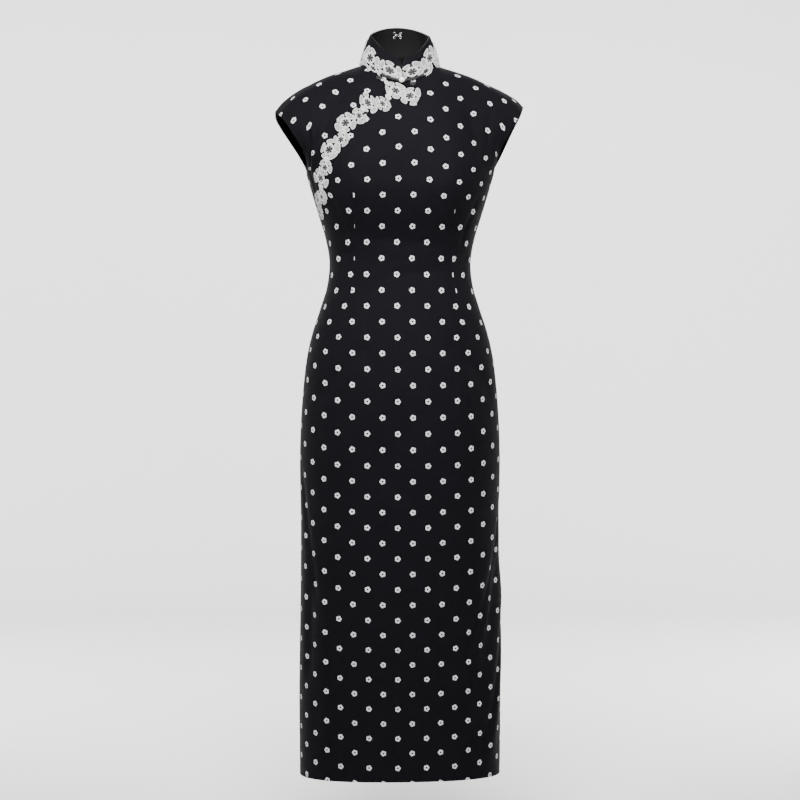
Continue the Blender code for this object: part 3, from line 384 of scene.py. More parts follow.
def collar_normal(hand, share, height):
    step = 0.01
    share, height = np.broadcast_arrays(np.asarray(share, float), np.asarray(height, float))
    height = np.clip(height, 0, 1)
    s0, s1 = np.clip(share - step, 0, 1), np.clip(share + step, 0, 1)
    h0, h1 = np.clip(height - step, 0, 1), np.clip(height + step, 0, 1)
    along = collar(hand, s1, height) - collar(hand, s0, height)
    up = collar(hand, share, h1) - collar(hand, share, h0)
    normal = unit(hand * np.cross(along, up))
    at_seam = (share < 1e-6) | (share > 1 - 1e-6)
    normal[..., 0] = np.where(at_seam, 0.0, normal[..., 0])
    return unit(normal)


def off_collar(hand, share, height, out):
    share, height = np.broadcast_arrays(np.asarray(share, float), np.asarray(height, float))
    return collar(hand, share, height) + collar_normal(hand, share, height) * np.asarray(out)[..., None]


# ---- the finer folds, which only the cloth itself carries ----
FINE_FOLDS = {
    FRONT: [
        ((-0.86, -0.80), (-0.090, -0.235), 0.006, 1.4 * MM),
        ((-0.78, -0.74), (-0.110, -0.240), 0.005, -1.0 * MM),
        ((-0.62, -0.75), (-0.118, -0.185), 0.007, -1.6 * MM),
        ((-0.55, -0.70), (-0.112, -0.180), 0.005, 1.1 * MM),
        ((-0.72, -0.45), (-0.092, -0.092), 0.006, 1.7 * MM),
        ((-0.66, -0.48), (-0.078, -0.080), 0.006, -1.4 * MM),
        ((-0.58, -0.50), (-0.235, -0.300), 0.007, 2.5 * MM),
        ((0.60, 0.54), (-0.235, -0.310), 0.007, 2.5 * MM),
        ((-0.66, -0.44), (-0.330, -0.322), 0.005, 1.8 * MM),
        ((-0.64, -0.46), (-0.352, -0.350), 0.004, 1.6 * MM),
        ((0.46, 0.70), (-0.338, -0.328), 0.005, 1.8 * MM),
        ((-0.30, 0.28), (-0.300, -0.312), 0.010, 1.8 * MM),
        ((-0.10, 0.34), (-0.362, -0.352), 0.008, 1.6 * MM),
        ((0.30, 0.66), (-0.470, -0.560), 0.014, 2.9 * MM),
        ((-0.24, -0.62), (-0.480, -0.570), 0.014, 2.5 * MM),
        ((0.88, 0.40), (-0.760, -0.985), 0.010, 4.0 * MM),
        ((0.90, 0.52), (-0.930, -1.160), 0.009, 3.6 * MM),
        ((0.62, 0.30), (-0.980, -1.190), 0.013, -3.2 * MM),
        ((-0.86, -0.62), (-0.700, -0.900), 0.010, 2.9 * MM),
        ((-0.54, -0.50), (-0.900, -1.150), 0.014, -2.5 * MM),
        ((-0.20, -0.12), (-0.640, -0.860), 0.018, 2.2 * MM),
    ],
    BACK: [
        ((-0.62, -0.20), (-0.352, -0.366), 0.006, 2.5 * MM),
        ((0.16, 0.64), (-0.372, -0.356), 0.006, 2.3 * MM),
        ((-0.50, 0.30), (-0.425, -0.432), 0.009, 2.3 * MM),
        ((-0.82, -0.74), (-0.095, -0.230), 0.007, 3.2 * MM),
        ((0.84, 0.76), (-0.090, -0.225), 0.007, 2.9 * MM),
        ((-0.50, -0.30), (-0.130, -0.290), 0.010, -2.2 * MM),
        ((0.46, 0.34), (-0.140, -0.300), 0.010, 2.2 * MM),
        ((0.78, 0.36), (-0.700, -0.930), 0.013, 3.6 * MM),
        ((-0.30, -0.56), (-0.660, -0.900), 0.014, -2.9 * MM),
        ((0.30, 0.20), (-0.860, -1.160), 0.015, 2.9 * MM),
        ((-0.86, -0.70), (-0.900, -1.170), 0.011, -2.9 * MM),
    ],
}


def fine_depth(side, across, level):
    """The finer folds, which die away at the side, shoulder and neck seams."""
    at_side = ease((1 - np.abs(across)) / 0.06)
    at_top = ease((TOP_LEVEL - level) / 0.020)
    height = np.where(level < UNDERARM_Z, level, UNDERARM_Z + (level - UNDERARM_Z) * 1.06)
    return valleys(FINE_FOLDS[side], across, height) * at_side * at_top


def off_cloth(side, across, level, out):
    """A point over the finished cloth, or inside it where out is negative."""
    across, level = np.broadcast_arrays(np.asarray(across, float), np.asarray(level, float))
    return off_body(side, across, level, out - fine_depth(side, across, level))


def part_seams(side, across, level, points):
    """Draws the edges of a panel back from its side and shoulder seams by half a gap."""
    at_side = (np.abs(across) > 0.999) & (level < UNDERARM_Z + 1e-6)
    at_shoulder = (level > TOP_LEVEL - 1e-6) & (np.abs(across) > NECK_ACROSS - 1e-6)
    points[..., 1] += np.where(at_side | at_shoulder, side * SEAM_LINE / 2, 0.0)
    return points


# ---- the slanted opening of the front ----
# Its line from the middle of the neckline to the side seam: across, level.
OPENING = [
    (0.000, TOP_LEVEL),
    (-0.122, -0.070),
    (-0.259, -0.104),
    (-0.369, -0.129),
    (-0.447, -0.148),
    (-0.527, -0.169),
    (-0.621, -0.199),
    (-0.775, -0.233),
    (-0.902, -0.259),
    (-1.000, -0.274),
]


FACING_FROM = 0.79  # where the armhole facings start, as a place across


# ---- the cloth laid flat, for the print ----
FLAT_ACROSS = np.linspace(-1, 1, 161)
FLAT_LEVELS = np.linspace(HEM_Z, TOP_LEVEL, 361)


def flat_table(side):
    """Lengths along the cloth, read level round from the middle and upright from the hem."""
    across, level = np.meshgrid(FLAT_ACROSS, FLAT_LEVELS)
    points = body(side, across, level)
    x, y, z = np.moveaxis(points, -1, 0)
    heights = np.linspace(HEM_Z, 0.022, 361)
    at_x = np.stack([np.interp(heights, z[:, i], x[:, i]) for i in range(len(FLAT_ACROSS))], axis=1)
    at_y = np.stack([np.interp(heights, z[:, i], y[:, i]) for i in range(len(FLAT_ACROSS))], axis=1)
    steps = np.hypot(np.diff(at_x, axis=1), np.diff(at_y, axis=1))
    run = np.concatenate([np.zeros((len(heights), 1)), np.cumsum(steps, axis=1)], axis=1)
    run -= run[:, [len(FLAT_ACROSS) // 2]]
    climb = np.hypot(np.diff(y, axis=0), np.diff(z, axis=0))
    rise = np.concatenate([np.zeros((1, len(FLAT_ACROSS))), np.cumsum(climb, axis=0)], axis=0)
    return {"heights": heights, "run": run, "rise": rise}


def read_grid(rows, columns, values, row, column):
    """Reads a regular table between its rows and columns."""
    r = np.clip((row - rows[0]) / (rows[1] - rows[0]), 0, len(rows) - 1.001)
    c = np.clip((column - columns[0]) / (columns[1] - columns[0]), 0, len(columns) - 1.001)
    i, j = r.astype(int), c.astype(int)
    r, c = r - i, c - j
    low = values[i, j] * (1 - c) + values[i, j + 1] * c
    high = values[i + 1, j] * (1 - c) + values[i + 1, j + 1] * c
    return low * (1 - r) + high * r


def flat(side, across, level):
    """Where a place of the dress lies on the uncut cloth: (run, rise) in metres."""
    found = FLAT[side]
    height = body(side, across, level)[..., 2]
    run = read_grid(found["heights"], FLAT_ACROSS, found["run"], height, across)
    rise = read_grid(FLAT_LEVELS, FLAT_ACROSS, found["rise"], level, across)
    return run, rise


FLAT = {side: flat_table(side) for side in (FRONT, BACK)}


# ---- meshes and modifiers ----
def link(made):
    bpy.context.scene.collection.objects.link(made)
    return made


def mesh_piece(name, points, faces, finishes, picks=None, fields=None, sharp=50):
    """A smooth mesh object from points and faces, with its finishes and point attributes."""
    mesh = bpy.data.meshes.new(name)
    mesh.from_pydata(np.asarray(points, float).reshape(-1, 3).tolist(), [], faces)
    for finish in finishes:
        mesh.materials.append(finish)
    if picks is not None:
        mesh.polygons.foreach_set("material_index", np.asarray(picks, np.int32))
    for field, values in (fields or {}).items():
        kind = "FLOAT_VECTOR" if values.ndim == 2 else "FLOAT"
        layer = mesh.attributes.new(field, kind, "POINT")
        layer.data.foreach_set("vector" if kind == "FLOAT_VECTOR" else "value", values.ravel())
    mesh.shade_smooth()
    mesh.set_sharp_from_angle(angle=math.radians(sharp))
    mesh.update()
    return link(bpy.data.objects.new(name, mesh))


def quads(rows, columns, closed=False):
    """Faces of a grid of points numbered row by row, closed round each row if asked."""
    index = np.arange(rows * columns).reshape(rows, columns)
    if closed:
        index = np.concatenate([index, index[:, :1]], axis=1)
    low, high = index[:-1], index[1:]
    return np.stack([low[:, :-1], low[:, 1:], high[:, 1:], high[:, :-1]], -1).reshape(-1, 4)


def cloth_shell(name, outer, inner, finishes, fields=None, flip=False):
    """A closed shell between two grids of points. The first finish is on its outer face and
    its cut edges, the last on its inner face."""
    rows, columns = outer.shape[:2]
    count = rows * columns
    index = np.arange(count).reshape(rows, columns)
    ring = np.concatenate([index[0, :-1], index[:-1, -1], index[-1, :0:-1], index[:0:-1, 0]])
    after = np.roll(ring, -1)
    rim = np.column_stack([after, ring, ring + count, after + count])
    face = quads(rows, columns)
    faces = np.concatenate([face, rim, face[:, ::-1] + count])
    if flip:
        faces = faces[:, ::-1]
    picks = np.concatenate(
        [np.zeros(len(face) + len(rim)), np.full(len(face), len(finishes) - 1)]
    ).astype(int)
    points = np.concatenate([outer.reshape(-1, 3), inner.reshape(-1, 3)])
    both = {
        field: np.concatenate([values, values]).astype(float)
        for field, values in (fields or {}).items()
    }
    return mesh_piece(name, points, faces.tolist(), finishes, picks, both)


def tubes(name, paths, radius, finish, sides=10):
    """Round closed tubes along paths of points, with their run and turn for the thread."""
    points, faces, runs, base = [], [], [], 0
    turns = np.arange(sides) * math.tau / sides
    for path in paths:
        path = np.asarray(path, float)
        along = unit(np.gradient(path, axis=0))
        frames = [unit(np.cross(along[0], [0.31, 0.52, 0.79]))]
        for direction in along[1:]:
            frames.append(unit(frames[-1] - direction * (frames[-1] @ direction)))
        side = np.array(frames)
        up = np.cross(along, side)
        ring = side[:, None] * np.cos(turns)[:, None] + up[:, None] * np.sin(turns)[:, None]
        points.append((path[:, None] + ring * radius).reshape(-1, 3))
        run = np.concatenate([[0], np.cumsum(np.linalg.norm(np.diff(path, axis=0), axis=1))])
        runs.append(np.stack(np.broadcast_arrays(run[:, None], turns[None] * radius, 0.0), -1))
        faces += (quads(len(path), sides, closed=True) + base).tolist()
        faces.append([base + i for i in range(sides)][::-1])
        last = base + (len(path) - 1) * sides
        faces.append([last + i for i in range(sides)])
        base += len(path) * sides
    fields = {"thread": np.concatenate([r.reshape(-1, 3) for r in runs])}
    return mesh_piece(name, np.concatenate(points), faces, [finish], None, fields, sharp=60)


def plies(path, strands, radius, lay):
    """The paths of the strands of a twisted cord whose middle runs along a path."""
    path = resampled(path, 0.45 * MM)
    along = unit(np.gradient(path, axis=0))
    side = [unit(np.cross(along[0], [0.31, 0.52, 0.79]))]
    for direction in along[1:]:
        side.append(unit(side[-1] - direction * (side[-1] @ direction)))
    side = np.array(side)
    up = np.cross(along, side)
    run = np.arange(len(path)) * 0.45 * MM
    found = []
    for strand in range(strands):
        turn = (run / lay + strand / strands) * math.tau
        found.append(path + (side * np.cos(turn)[:, None] + up * np.sin(turn)[:, None]) * radius)
    return found


def resampled(path, step):
    """Points a step apart on a smooth curve through the path."""
    path = np.asarray(path, float)
    run = np.concatenate([[0], np.cumsum(np.linalg.norm(np.diff(path, axis=0), axis=1))])
    reads = np.linspace(0, run[-1], max(int(run[-1] / step), 4))
    return np.column_stack([smooth(run, path[:, axis], reads) for axis in range(3)])


# ---- geometry node trees ----
class Bench:
    """Lays nodes of one tree out from left to right and joins them up."""

    def __init__(self, tree):
        self.tree = tree
        self.count = 0

    def node(self, kind, options=None, values=None):
        made = self.tree.nodes.new(kind)
        made.location = (190 * (self.count % 12), -230 * (self.count // 12))
        self.count += 1
        for key, value in (options or {}).items():
            setattr(made, key, value)
        for key, value in (values or {}).items():
            if isinstance(value, bpy.types.NodeSocket):
                self.tree.links.new(value, made.inputs[key])
            else:
                made.inputs[key].default_value = value
        return made

    def math(self, operation, *values, clamp=False):
        options = {"operation": operation, "use_clamp": clamp}
        return self.node("ShaderNodeMath", options, dict(enumerate(values))).outputs[0]

    def named(self, name, kind):
        options = {"data_type": kind}
        return self.node("GeometryNodeInputNamedAttribute", options, {"Name": name}).outputs[0]


def node_group(name, inputs):
    """An empty geometry node tree with named inputs, and its bench, group input and output."""
    tree = bpy.data.node_groups.new(name, "GeometryNodeTree")
    tree.interface.new_socket("Geometry", in_out="INPUT", socket_type="NodeSocketGeometry")
    for label, kind, value in inputs:
        socket = tree.interface.new_socket(label, in_out="INPUT", socket_type=kind)
        if value is not None:
            socket.default_value = value
    tree.interface.new_socket("Geometry", in_out="OUTPUT", socket_type="NodeSocketGeometry")
    bench = Bench(tree)
    return tree, bench, bench.node("NodeGroupInput"), bench.node("NodeGroupOutput")


def finished(bench, placed, given, end):
    """Closes a tree: real geometry, then its finish."""
    real = bench.node("GeometryNodeRealizeInstances", None, {"Geometry": placed})
    done = bench.node(
        "GeometryNodeSetMaterial", None, {"Geometry": real.outputs[0], "Material": given["Finish"]}
    )
    bench.tree.links.new(done.outputs[0], end.inputs[0])


def items_along_lines():
    """Sets an item at every pitch along the mesh's lines, its X along the line and its Z
    along "out"."""
    tree, bench, given, end = node_group(
        "Items along lines",
        [
            ("Item", "NodeSocketObject", None),
            ("Pitch", "NodeSocketFloat", 0.003),
            ("Finish", "NodeSocketMaterial", None),
        ],
    )
    item = bench.node("GeometryNodeObjectInfo", None, {"Object": given.outputs["Item"]})
    item.inputs["As Instance"].default_value = True
    curve = bench.node("GeometryNodeMeshToCurve", None, {"Mesh": given.outputs["Geometry"]})
    points = bench.node(
        "GeometryNodeCurveToPoints",
        {"mode": "LENGTH"},
        {"Curve": curve.outputs[0], "Length": given.outputs["Pitch"]},
    )
    turn = bench.node(
        "FunctionNodeAxesToRotation",
        {"primary_axis": "Z", "secondary_axis": "X"},
        {0: bench.named("out", "FLOAT_VECTOR"), 1: points.outputs["Tangent"]},
    )
    placed = bench.node(
        "GeometryNodeInstanceOnPoints",
        None,
        {"Points": points.outputs[0], "Instance": item.outputs["Geometry"], "Rotation": turn.outputs[0]},
    )
    finished(bench, placed.outputs[0], given.outputs, end)
    return tree


def repeated(name, tree, carrier, settings):
    """Runs a tree on a carrier object and keeps the result as a plain mesh object."""
    modifier = carrier.modifiers.new(tree.name, "NODES")
    modifier.node_group = tree
    for socket in tree.interface.items_tree:
        if socket.in_out == "INPUT" and socket.name in settings:
            modifier[socket.identifier] = settings[socket.name]
    bpy.context.view_layer.update()
    graph = bpy.context.evaluated_depsgraph_get()
    mesh = bpy.data.meshes.new_from_object(carrier.evaluated_get(graph))
    mesh.name = name
    if not mesh.polygons:
        raise RuntimeError("%s came out empty" % name)
    carrier.modifiers.remove(modifier)
    bpy.data.objects.remove(carrier)
    return link(bpy.data.objects.new(name, mesh))


def lines_object(lines, outs):
    """Lines of edges that say where items run."""
    edges, base = [], 0
    for line in lines:
        edges += [(base + i, base + i + 1) for i in range(len(line) - 1)]
        base += len(line)
    mesh = bpy.data.meshes.new("lines")
    mesh.from_pydata(np.concatenate(lines).tolist(), edges, [])
    layer = mesh.attributes.new("out", "FLOAT_VECTOR", "POINT")
    layer.data.foreach_set("vector", np.concatenate(outs).astype(float).ravel())
    return link(bpy.data.objects.new("lines", mesh))


def drop(*made):
    for each in made:
        bpy.data.objects.remove(each)


# ---- sizes and colours that can be changed ----
def colour_prop(name, description, default):
    return bpy.props.FloatVectorProperty(
        name=name, description=description, default=default, size=3, min=0, max=1, subtype="COLOR"
    )


def length_prop(name, description, default):
    return bpy.props.FloatProperty(
        name=name, description=description, default=default, min=0, unit="LENGTH", precision=5
    )


FLORET_PITCH = 49.95 * MM  # of the repeat as printed, which the dart intakes are counted in


class CheongsamCloth(bpy.types.PropertyGroup):
    """Cloth, print and lining."""

    sateen: colour_prop("Sateen", "Colour of the black cotton sateen", (0.0056, 0.0053, 0.0067))
    floret: colour_prop("Florets", "Colour of the woven florets", (0.60, 0.60, 0.615))
    lining: colour_prop("Lining", "Colour of the lining", (0.0034, 0.0032, 0.0032))
    thickness: length_prop("Thickness", "Thickness of the cloth", 1.2 * MM)
    lining_thickness: length_prop("Lining thickness", "Thickness of the lining", 0.8 * MM)
    floret_pitch: length_prop("Floret pitch", "From one floret to the next in a row", FLORET_PITCH)
    floret_radius: length_prop("Floret radius", "Radius of a floret", 5.0 * MM)
    hem_turning: length_prop("Hem", "Height of the hem's turning", 35 * MM)


class CheongsamTrim(bpy.types.PropertyGroup):
    """Lace, cord, button and fittings."""

    lace: colour_prop("Lace", "Colour of the flower lace", (0.66, 0.65, 0.645))
    cord: colour_prop("Cord", "Colour of the closing cord", (0.017, 0.017, 0.019))
    pearl: colour_prop("Pearl", "Colour of the button", (0.92, 0.90, 0.885))
    metal: colour_prop("Metal", "Colour of the hook, the eye and the zip", (0.62, 0.62, 0.64))
    petal_rise: length_prop("Petal rise", "Height of a petal's cord edge", 1.0 * MM)
    cord_radius: length_prop("Cord radius", "Radius of one strand of the cord", 1.2 * MM)


class CheongsamStage(bpy.types.PropertyGroup):
    """Floor, lights and camera."""

    distance: length_prop("Distance", "From the dress to the camera", 3.6)
    turn: bpy.props.FloatProperty(
        name="Turn",
        description="How far the camera stands to the wearer's right",
        default=math.radians(4.6),
        subtype="ANGLE",
    )
    height: bpy.props.FloatProperty(
        name="Height", description="Height of the camera", default=-0.568, unit="LENGTH"
    )
    light: bpy.props.FloatProperty(
        name="Light", description="Strength of the soft boxes", default=1.0, min=0
    )


# ---- finishes ----
def new_finish(name):
    """A node material with its bench, shader and output."""
    made = bpy.data.materials.new(name)
    made.use_nodes = True
    made.node_tree.nodes.clear()
    bench = Bench(made.node_tree)
    shader = bench.node("ShaderNodeBsdfPrincipled")
    output = bench.node("ShaderNodeOutputMaterial")
    made.node_tree.links.new(shader.outputs[0], output.inputs["Surface"])
    return made, bench, shader


def attribute(bench, name):
    return bench.node("ShaderNodeAttribute", {"attribute_name": name})


def weave_height(bench, where, pitch):
    """The height of a fine satin weave: short floats lying side by side."""
    turned = bench.node("ShaderNodeMapping", None, {"Vector": where, "Scale": (1 / pitch,) * 3})
    turned.inputs["Rotation"].default_value = (0, 0, math.radians(22))
    parts = bench.node("ShaderNodeSeparateXYZ", None, {0: turned.outputs[0]})
    across = bench.math("SINE", bench.math("MULTIPLY", parts.outputs[0], math.tau))
    along = bench.math("SINE", bench.math("MULTIPLY", parts.outputs[1], math.tau / 3))
    return bench.math("MULTIPLY_ADD", across, along, 1.0)


def soft_noise(bench, where, scale, detail=3.0):
    made = bench.node(
        "ShaderNodeTexNoise", None, {"Vector": where, "Scale": scale, "Detail": detail, "Roughness": 0.6}
    )
    return made.outputs["Fac"]


def tint(bench, factor, dark, light):
    """A colour between two, by a factor from 0 to 1."""
    mixed = bench.node("ShaderNodeMix", {"data_type": "RGBA"}, {0: factor})
    mixed.inputs[6].default_value = (*dark, 1)
    mixed.inputs[7].default_value = (*light, 1)
    return mixed.outputs[2]


def shaded(colour, amount):
    return tuple(min(1.0, value * amount) for value in colour)


def smooth_step(bench, value, low, high):
    made = bench.node(
        "ShaderNodeMapRange",
        {"interpolation_type": "SMOOTHSTEP"},
        {"Value": value, "From Min": low, "From Max": high},
    )
    return made.outputs["Result"]


def bump(bench, shader, height, distance, strength=1.0):
    made = bench.node("ShaderNodeBump", None, {"Strength": strength, "Distance": distance})
    bench.tree.links.new(height, made.inputs["Height"])
    bench.tree.links.new(made.outputs[0], shader.inputs["Normal"])


def near_lattice(bench, u, v, offset, pitch):
    """From the nearest floret of one half of the half-drop repeat: x, y and distance."""
    found = []
    for value, size in ((u, pitch[0]), (v, pitch[1])):
        moved = bench.math("SUBTRACT", value, offset)
        whole = bench.math("ROUND", moved)
        found.append(bench.math("MULTIPLY", bench.math("SUBTRACT", moved, whole), size))
    x, y = found
    squared = bench.math("MULTIPLY_ADD", x, x, bench.math("MULTIPLY", y, y))
    return x, y, bench.math("SQRT", squared)


def floret_mask(bench, cloth):
    """How much of a floret lies here (0 to 1) and its height, on the cloth's own repeat."""
    place = bench.node("ShaderNodeSeparateXYZ", None, {0: attribute(bench, "print").outputs["Vector"]})
    dart = bench.node("ShaderNodeSeparateXYZ", None, {0: attribute(bench, "dart").outputs["Vector"]})
    past = bench.math("GREATER_THAN", dart.outputs[0], 0.0)
    u = bench.math("MULTIPLY_ADD", past, dart.outputs[1], place.outputs[0])
    pitch = (cloth.floret_pitch, ROW_PITCH)
    first = near_lattice(bench, u, place.outputs[1], 0.0, pitch)
    second = near_lattice(bench, u, place.outputs[1], 0.5, pitch)
    nearer = bench.math("LESS_THAN", second[2], first[2])
    x, y, far = (
        bench.math("MULTIPLY_ADD", nearer, bench.math("SUBTRACT", b, a), a)
        for a, b in zip(first, second)
    )
    turn = bench.math("MULTIPLY_ADD", nearer, math.pi, bench.math("ARCTAN2", y, x))
    lobes = bench.math("ABSOLUTE", bench.math("COSINE", bench.math("MULTIPLY", turn, 2.5)))
    reach = bench.math("MULTIPLY_ADD", bench.math("POWER", lobes, 0.6), 0.27, 0.73)
    reach = bench.math("MULTIPLY", reach, cloth.floret_radius)
    inside = bench.math("DIVIDE", far, reach)
    petal = bench.math("SUBTRACT", 1.0, smooth_step(bench, inside, 0.90, 1.04))
    centre = smooth_step(bench, far, 1.1 * MM, 2.1 * MM)
    parting = smooth_step(bench, lobes, 0.10, 0.30)
    outer = smooth_step(bench, far, 1.6 * MM, 3.2 * MM)
    parting = bench.math("MAXIMUM", parting, outer)
    mask = bench.math("MULTIPLY", bench.math("MULTIPLY", petal, centre), parting)
    ribs = bench.math("SINE", bench.math("MULTIPLY", turn, 42.0))
    dome = bench.math("SUBTRACT", 1.15, bench.math("MULTIPLY", inside, inside))
    height = bench.math("MULTIPLY", mask, bench.math("MULTIPLY_ADD", ribs, 0.10, dome))
    return mask, height, ribs


def sateen_finish(name, cloth, printed):
    """Black cotton sateen: satin floats, soft sheen, and florets woven in where printed."""
    made, bench, shader = new_finish(name)
    flat = attribute(bench, "flat").outputs["Vector"]
    weave = weave_height(bench, flat, 0.42 * MM)
    broad = soft_noise(bench, flat, 14.0)
    slubs = bench.node("ShaderNodeMapping", None, {"Vector": flat, "Scale": (60.0, 900.0, 1.0)})
    slub = soft_noise(bench, slubs.outputs[0], 1.0, 2.0)
    mottle = bench.math("MULTIPLY_ADD", slub, 0.5, bench.math("MULTIPLY", broad, 0.5))
    ground = tint(bench, mottle, shaded(cloth.sateen, 0.78), shaded(cloth.sateen, 1.25))
    height = bench.math("MULTIPLY", weave, 0.04)
    height = bench.math("MULTIPLY_ADD", slub, 0.05, height)
    crease = bench.node("ShaderNodeSeparateXYZ", None, {0: attribute(bench, "dart").outputs["Vector"]})
    near = bench.math("ABSOLUTE", crease.outputs[0])
    groove = bench.math("SUBTRACT", smooth_step(bench, near, 0.0, 1.6 * MM), 1.0)
    groove = bench.math("MULTIPLY", groove, crease.outputs[2])
    height = bench.math("MULTIPLY_ADD", groove, 0.45, height)
    colour = ground
    if printed:
        mask, rise, ribs = floret_mask(bench, cloth)
        thread = bench.math("MULTIPLY_ADD", ribs, 0.25, bench.math("MULTIPLY", weave, 0.45), clamp=True)
        petals = tint(bench, thread, shaded(cloth.floret, 0.80), shaded(cloth.floret, 1.08))
        mixed = bench.node("ShaderNodeMix", {"data_type": "RGBA"}, {0: mask})
        bench.tree.links.new(ground, mixed.inputs[6])
        bench.tree.links.new(petals, mixed.inputs[7])
        colour = mixed.outputs[2]
        height = bench.math("MULTIPLY_ADD", rise, 0.30, height)
    bench.tree.links.new(colour, shader.inputs["Base Color"])
    rough = bench.math("MULTIPLY_ADD", mottle, 0.14, 0.42)
    bench.tree.links.new(rough, shader.inputs["Roughness"])
    shader.inputs["Specular IOR Level"].default_value = 0.01
    shader.inputs["Specular Tint"].default_value = (0.6, 0.6, 0.68, 1)
    bump(bench, shader, height, 1.0 * MM)
    return made


def lining_finish(name, colour):
    """Plain woven lining, slightly warm."""
    made, bench, shader = new_finish(name)
    flat = attribute(bench, "flat").outputs["Vector"]
    weave = weave_height(bench, flat, 0.36 * MM)
    broad = soft_noise(bench, flat, 22.0)
    mottle = bench.math("MULTIPLY_ADD", weave, 0.18, bench.math("MULTIPLY", broad, 0.6))
    bench.tree.links.new(
        tint(bench, mottle, shaded(colour, 0.72), shaded(colour, 1.35)), shader.inputs["Base Color"]
    )
    shader.inputs["Roughness"].default_value = 0.68
    shader.inputs["Specular IOR Level"].default_value = 0.12
    shader.inputs["Sheen Weight"].default_value = 0.02
    height = bench.math("MULTIPLY_ADD", broad, 0.5, bench.math("MULTIPLY", weave, 0.08))
    bump(bench, shader, height, 0.8 * MM)
    return made


def thread_finish(name, colour, across_pitch, gloss=0.6, shade=1.0):
    """Satin-stitched thread: fine ribs across the petal or round the strand. The attribute's
    third value is painted light: it picks between the satin in painted shade (0) and the full colour of the
    raised cord, painted as lit (1)."""
    made, bench, shader = new_finish(name)
    thread = bench.node("ShaderNodeSeparateXYZ", None, {0: attribute(bench, "thread").outputs["Vector"]})
    ribs = bench.math("SINE", bench.math("MULTIPLY", thread.outputs[0], math.tau / across_pitch))
    place = bench.node("ShaderNodeTexCoord").outputs["Object"]
    worn = soft_noise(bench, place, 420.0, 2.0)
    ribbed = bench.math("MULTIPLY_ADD", ribs, 0.30, bench.math("MULTIPLY_ADD", worn, 0.5, 0.28), clamp=True)
    # Painted light: bright is the raised cord painted as lit, satin is the low satin painted in shade, made
    # darker still by shade.
    bright = tint(bench, ribbed, shaded(colour, 0.80), shaded(colour, 1.14))
    satin = tint(bench, ribbed, shaded(colour, 0.42 * shade), shaded(colour, 0.88 * shade))
    mixed = bench.node("ShaderNodeMix", {"data_type": "RGBA"}, {0: thread.outputs[2]})
    bench.tree.links.new(satin, mixed.inputs[6])
    bench.tree.links.new(bright, mixed.inputs[7])
    bench.tree.links.new(mixed.outputs[2], shader.inputs["Base Color"])
    shader.inputs["Roughness"].default_value = gloss
    shader.inputs["Sheen Weight"].default_value = 0.10
    height = bench.math("MULTIPLY_ADD", worn, 0.4, bench.math("MULTIPLY", ribs, 0.5))
    bump(bench, shader, height, 0.22 * MM)
    return made


def pearl_finish(name, colour):
    """A pearl button, with a faint swirl under its lustre."""
    made, bench, shader = new_finish(name)
    place = bench.node("ShaderNodeTexCoord").outputs["Object"]
    swirl = soft_noise(bench, place, 320.0, 2.0)
    bench.tree.links.new(
        tint(bench, swirl, shaded(colour, 0.90), shaded(colour, 1.08)), shader.inputs["Base Color"]
    )
    shader.inputs["Roughness"].default_value = 0.22
    shader.inputs["Coat Weight"].default_value = 0.7
    shader.inputs["Coat Roughness"].default_value = 0.08
    shader.inputs["Subsurface Weight"].default_value = 0.1
    shader.inputs["Subsurface Radius"].default_value = (0.002, 0.0015, 0.001)
    bump(bench, shader, swirl, 0.05 * MM)
    return made


def metal_finish(name, colour):
    """Nickel-plated wire and die-cast metal with fine handling marks."""
    made, bench, shader = new_finish(name)
    place = bench.node("ShaderNodeTexCoord").outputs["Object"]
    marks = soft_noise(bench, place, 900.0, 4.0)
    broad = soft_noise(bench, place, 130.0, 2.0)
    bench.tree.links.new(
        tint(bench, broad, shaded(colour, 0.85), shaded(colour, 1.1)), shader.inputs["Base Color"]
    )
    shader.inputs["Metallic"].default_value = 1.0
    bench.tree.links.new(bench.math("MULTIPLY_ADD", marks, 0.22, 0.16), shader.inputs["Roughness"])
    bump(bench, shader, marks, 0.02 * MM)
    return made


def studio_finish(name, colour):
    """A smooth pale studio floor."""
    made, bench, shader = new_finish(name)
    place = bench.node("ShaderNodeTexCoord").outputs["Object"]
    broad = soft_noise(bench, place, 1.2, 2.0)
    bench.tree.links.new(
        tint(bench, broad, shaded(colour, 0.985), colour), shader.inputs["Base Color"]
    )
    shader.inputs["Roughness"].default_value = 0.85
    return made


FINISHES = {}


def finishes():
    """The dress's finishes, made once."""
    if FINISHES:
        return FINISHES
    cloth, trim = bpy.context.scene.cheongsam_cloth, bpy.context.scene.cheongsam_trim
    FINISHES.update(
        printed=sateen_finish("printed_sateen", cloth, True),
        plain=sateen_finish("plain_sateen", cloth, False),
        reverse=lining_finish("body_lining", cloth.lining),
        lining=lining_finish("collar_lining", cloth.lining),
        # The lace's satin is painted in shade, at 0.72, below its raised cords.
        lace=thread_finish("lace_thread", trim.lace, 0.55 * MM, 0.7, 0.72),
        middles=thread_finish("lace_middles", shaded(trim.cord, 0.35), 0.5 * MM, 0.7),
        cord=thread_finish("cord_thread", trim.cord, 0.5 * MM, 0.5),
        # The piping along the collar's rim and front edges takes the cord's colour made 2.6 times lighter.
        # That is a painted highlight on those edges.
        piping=thread_finish("piping_thread", shaded(trim.cord, 2.6), 0.5 * MM, 0.5),
        pearl=pearl_finish("pearl", trim.pearl),
        metal=metal_finish("plated_metal", trim.metal),
    )
    return FINISHES


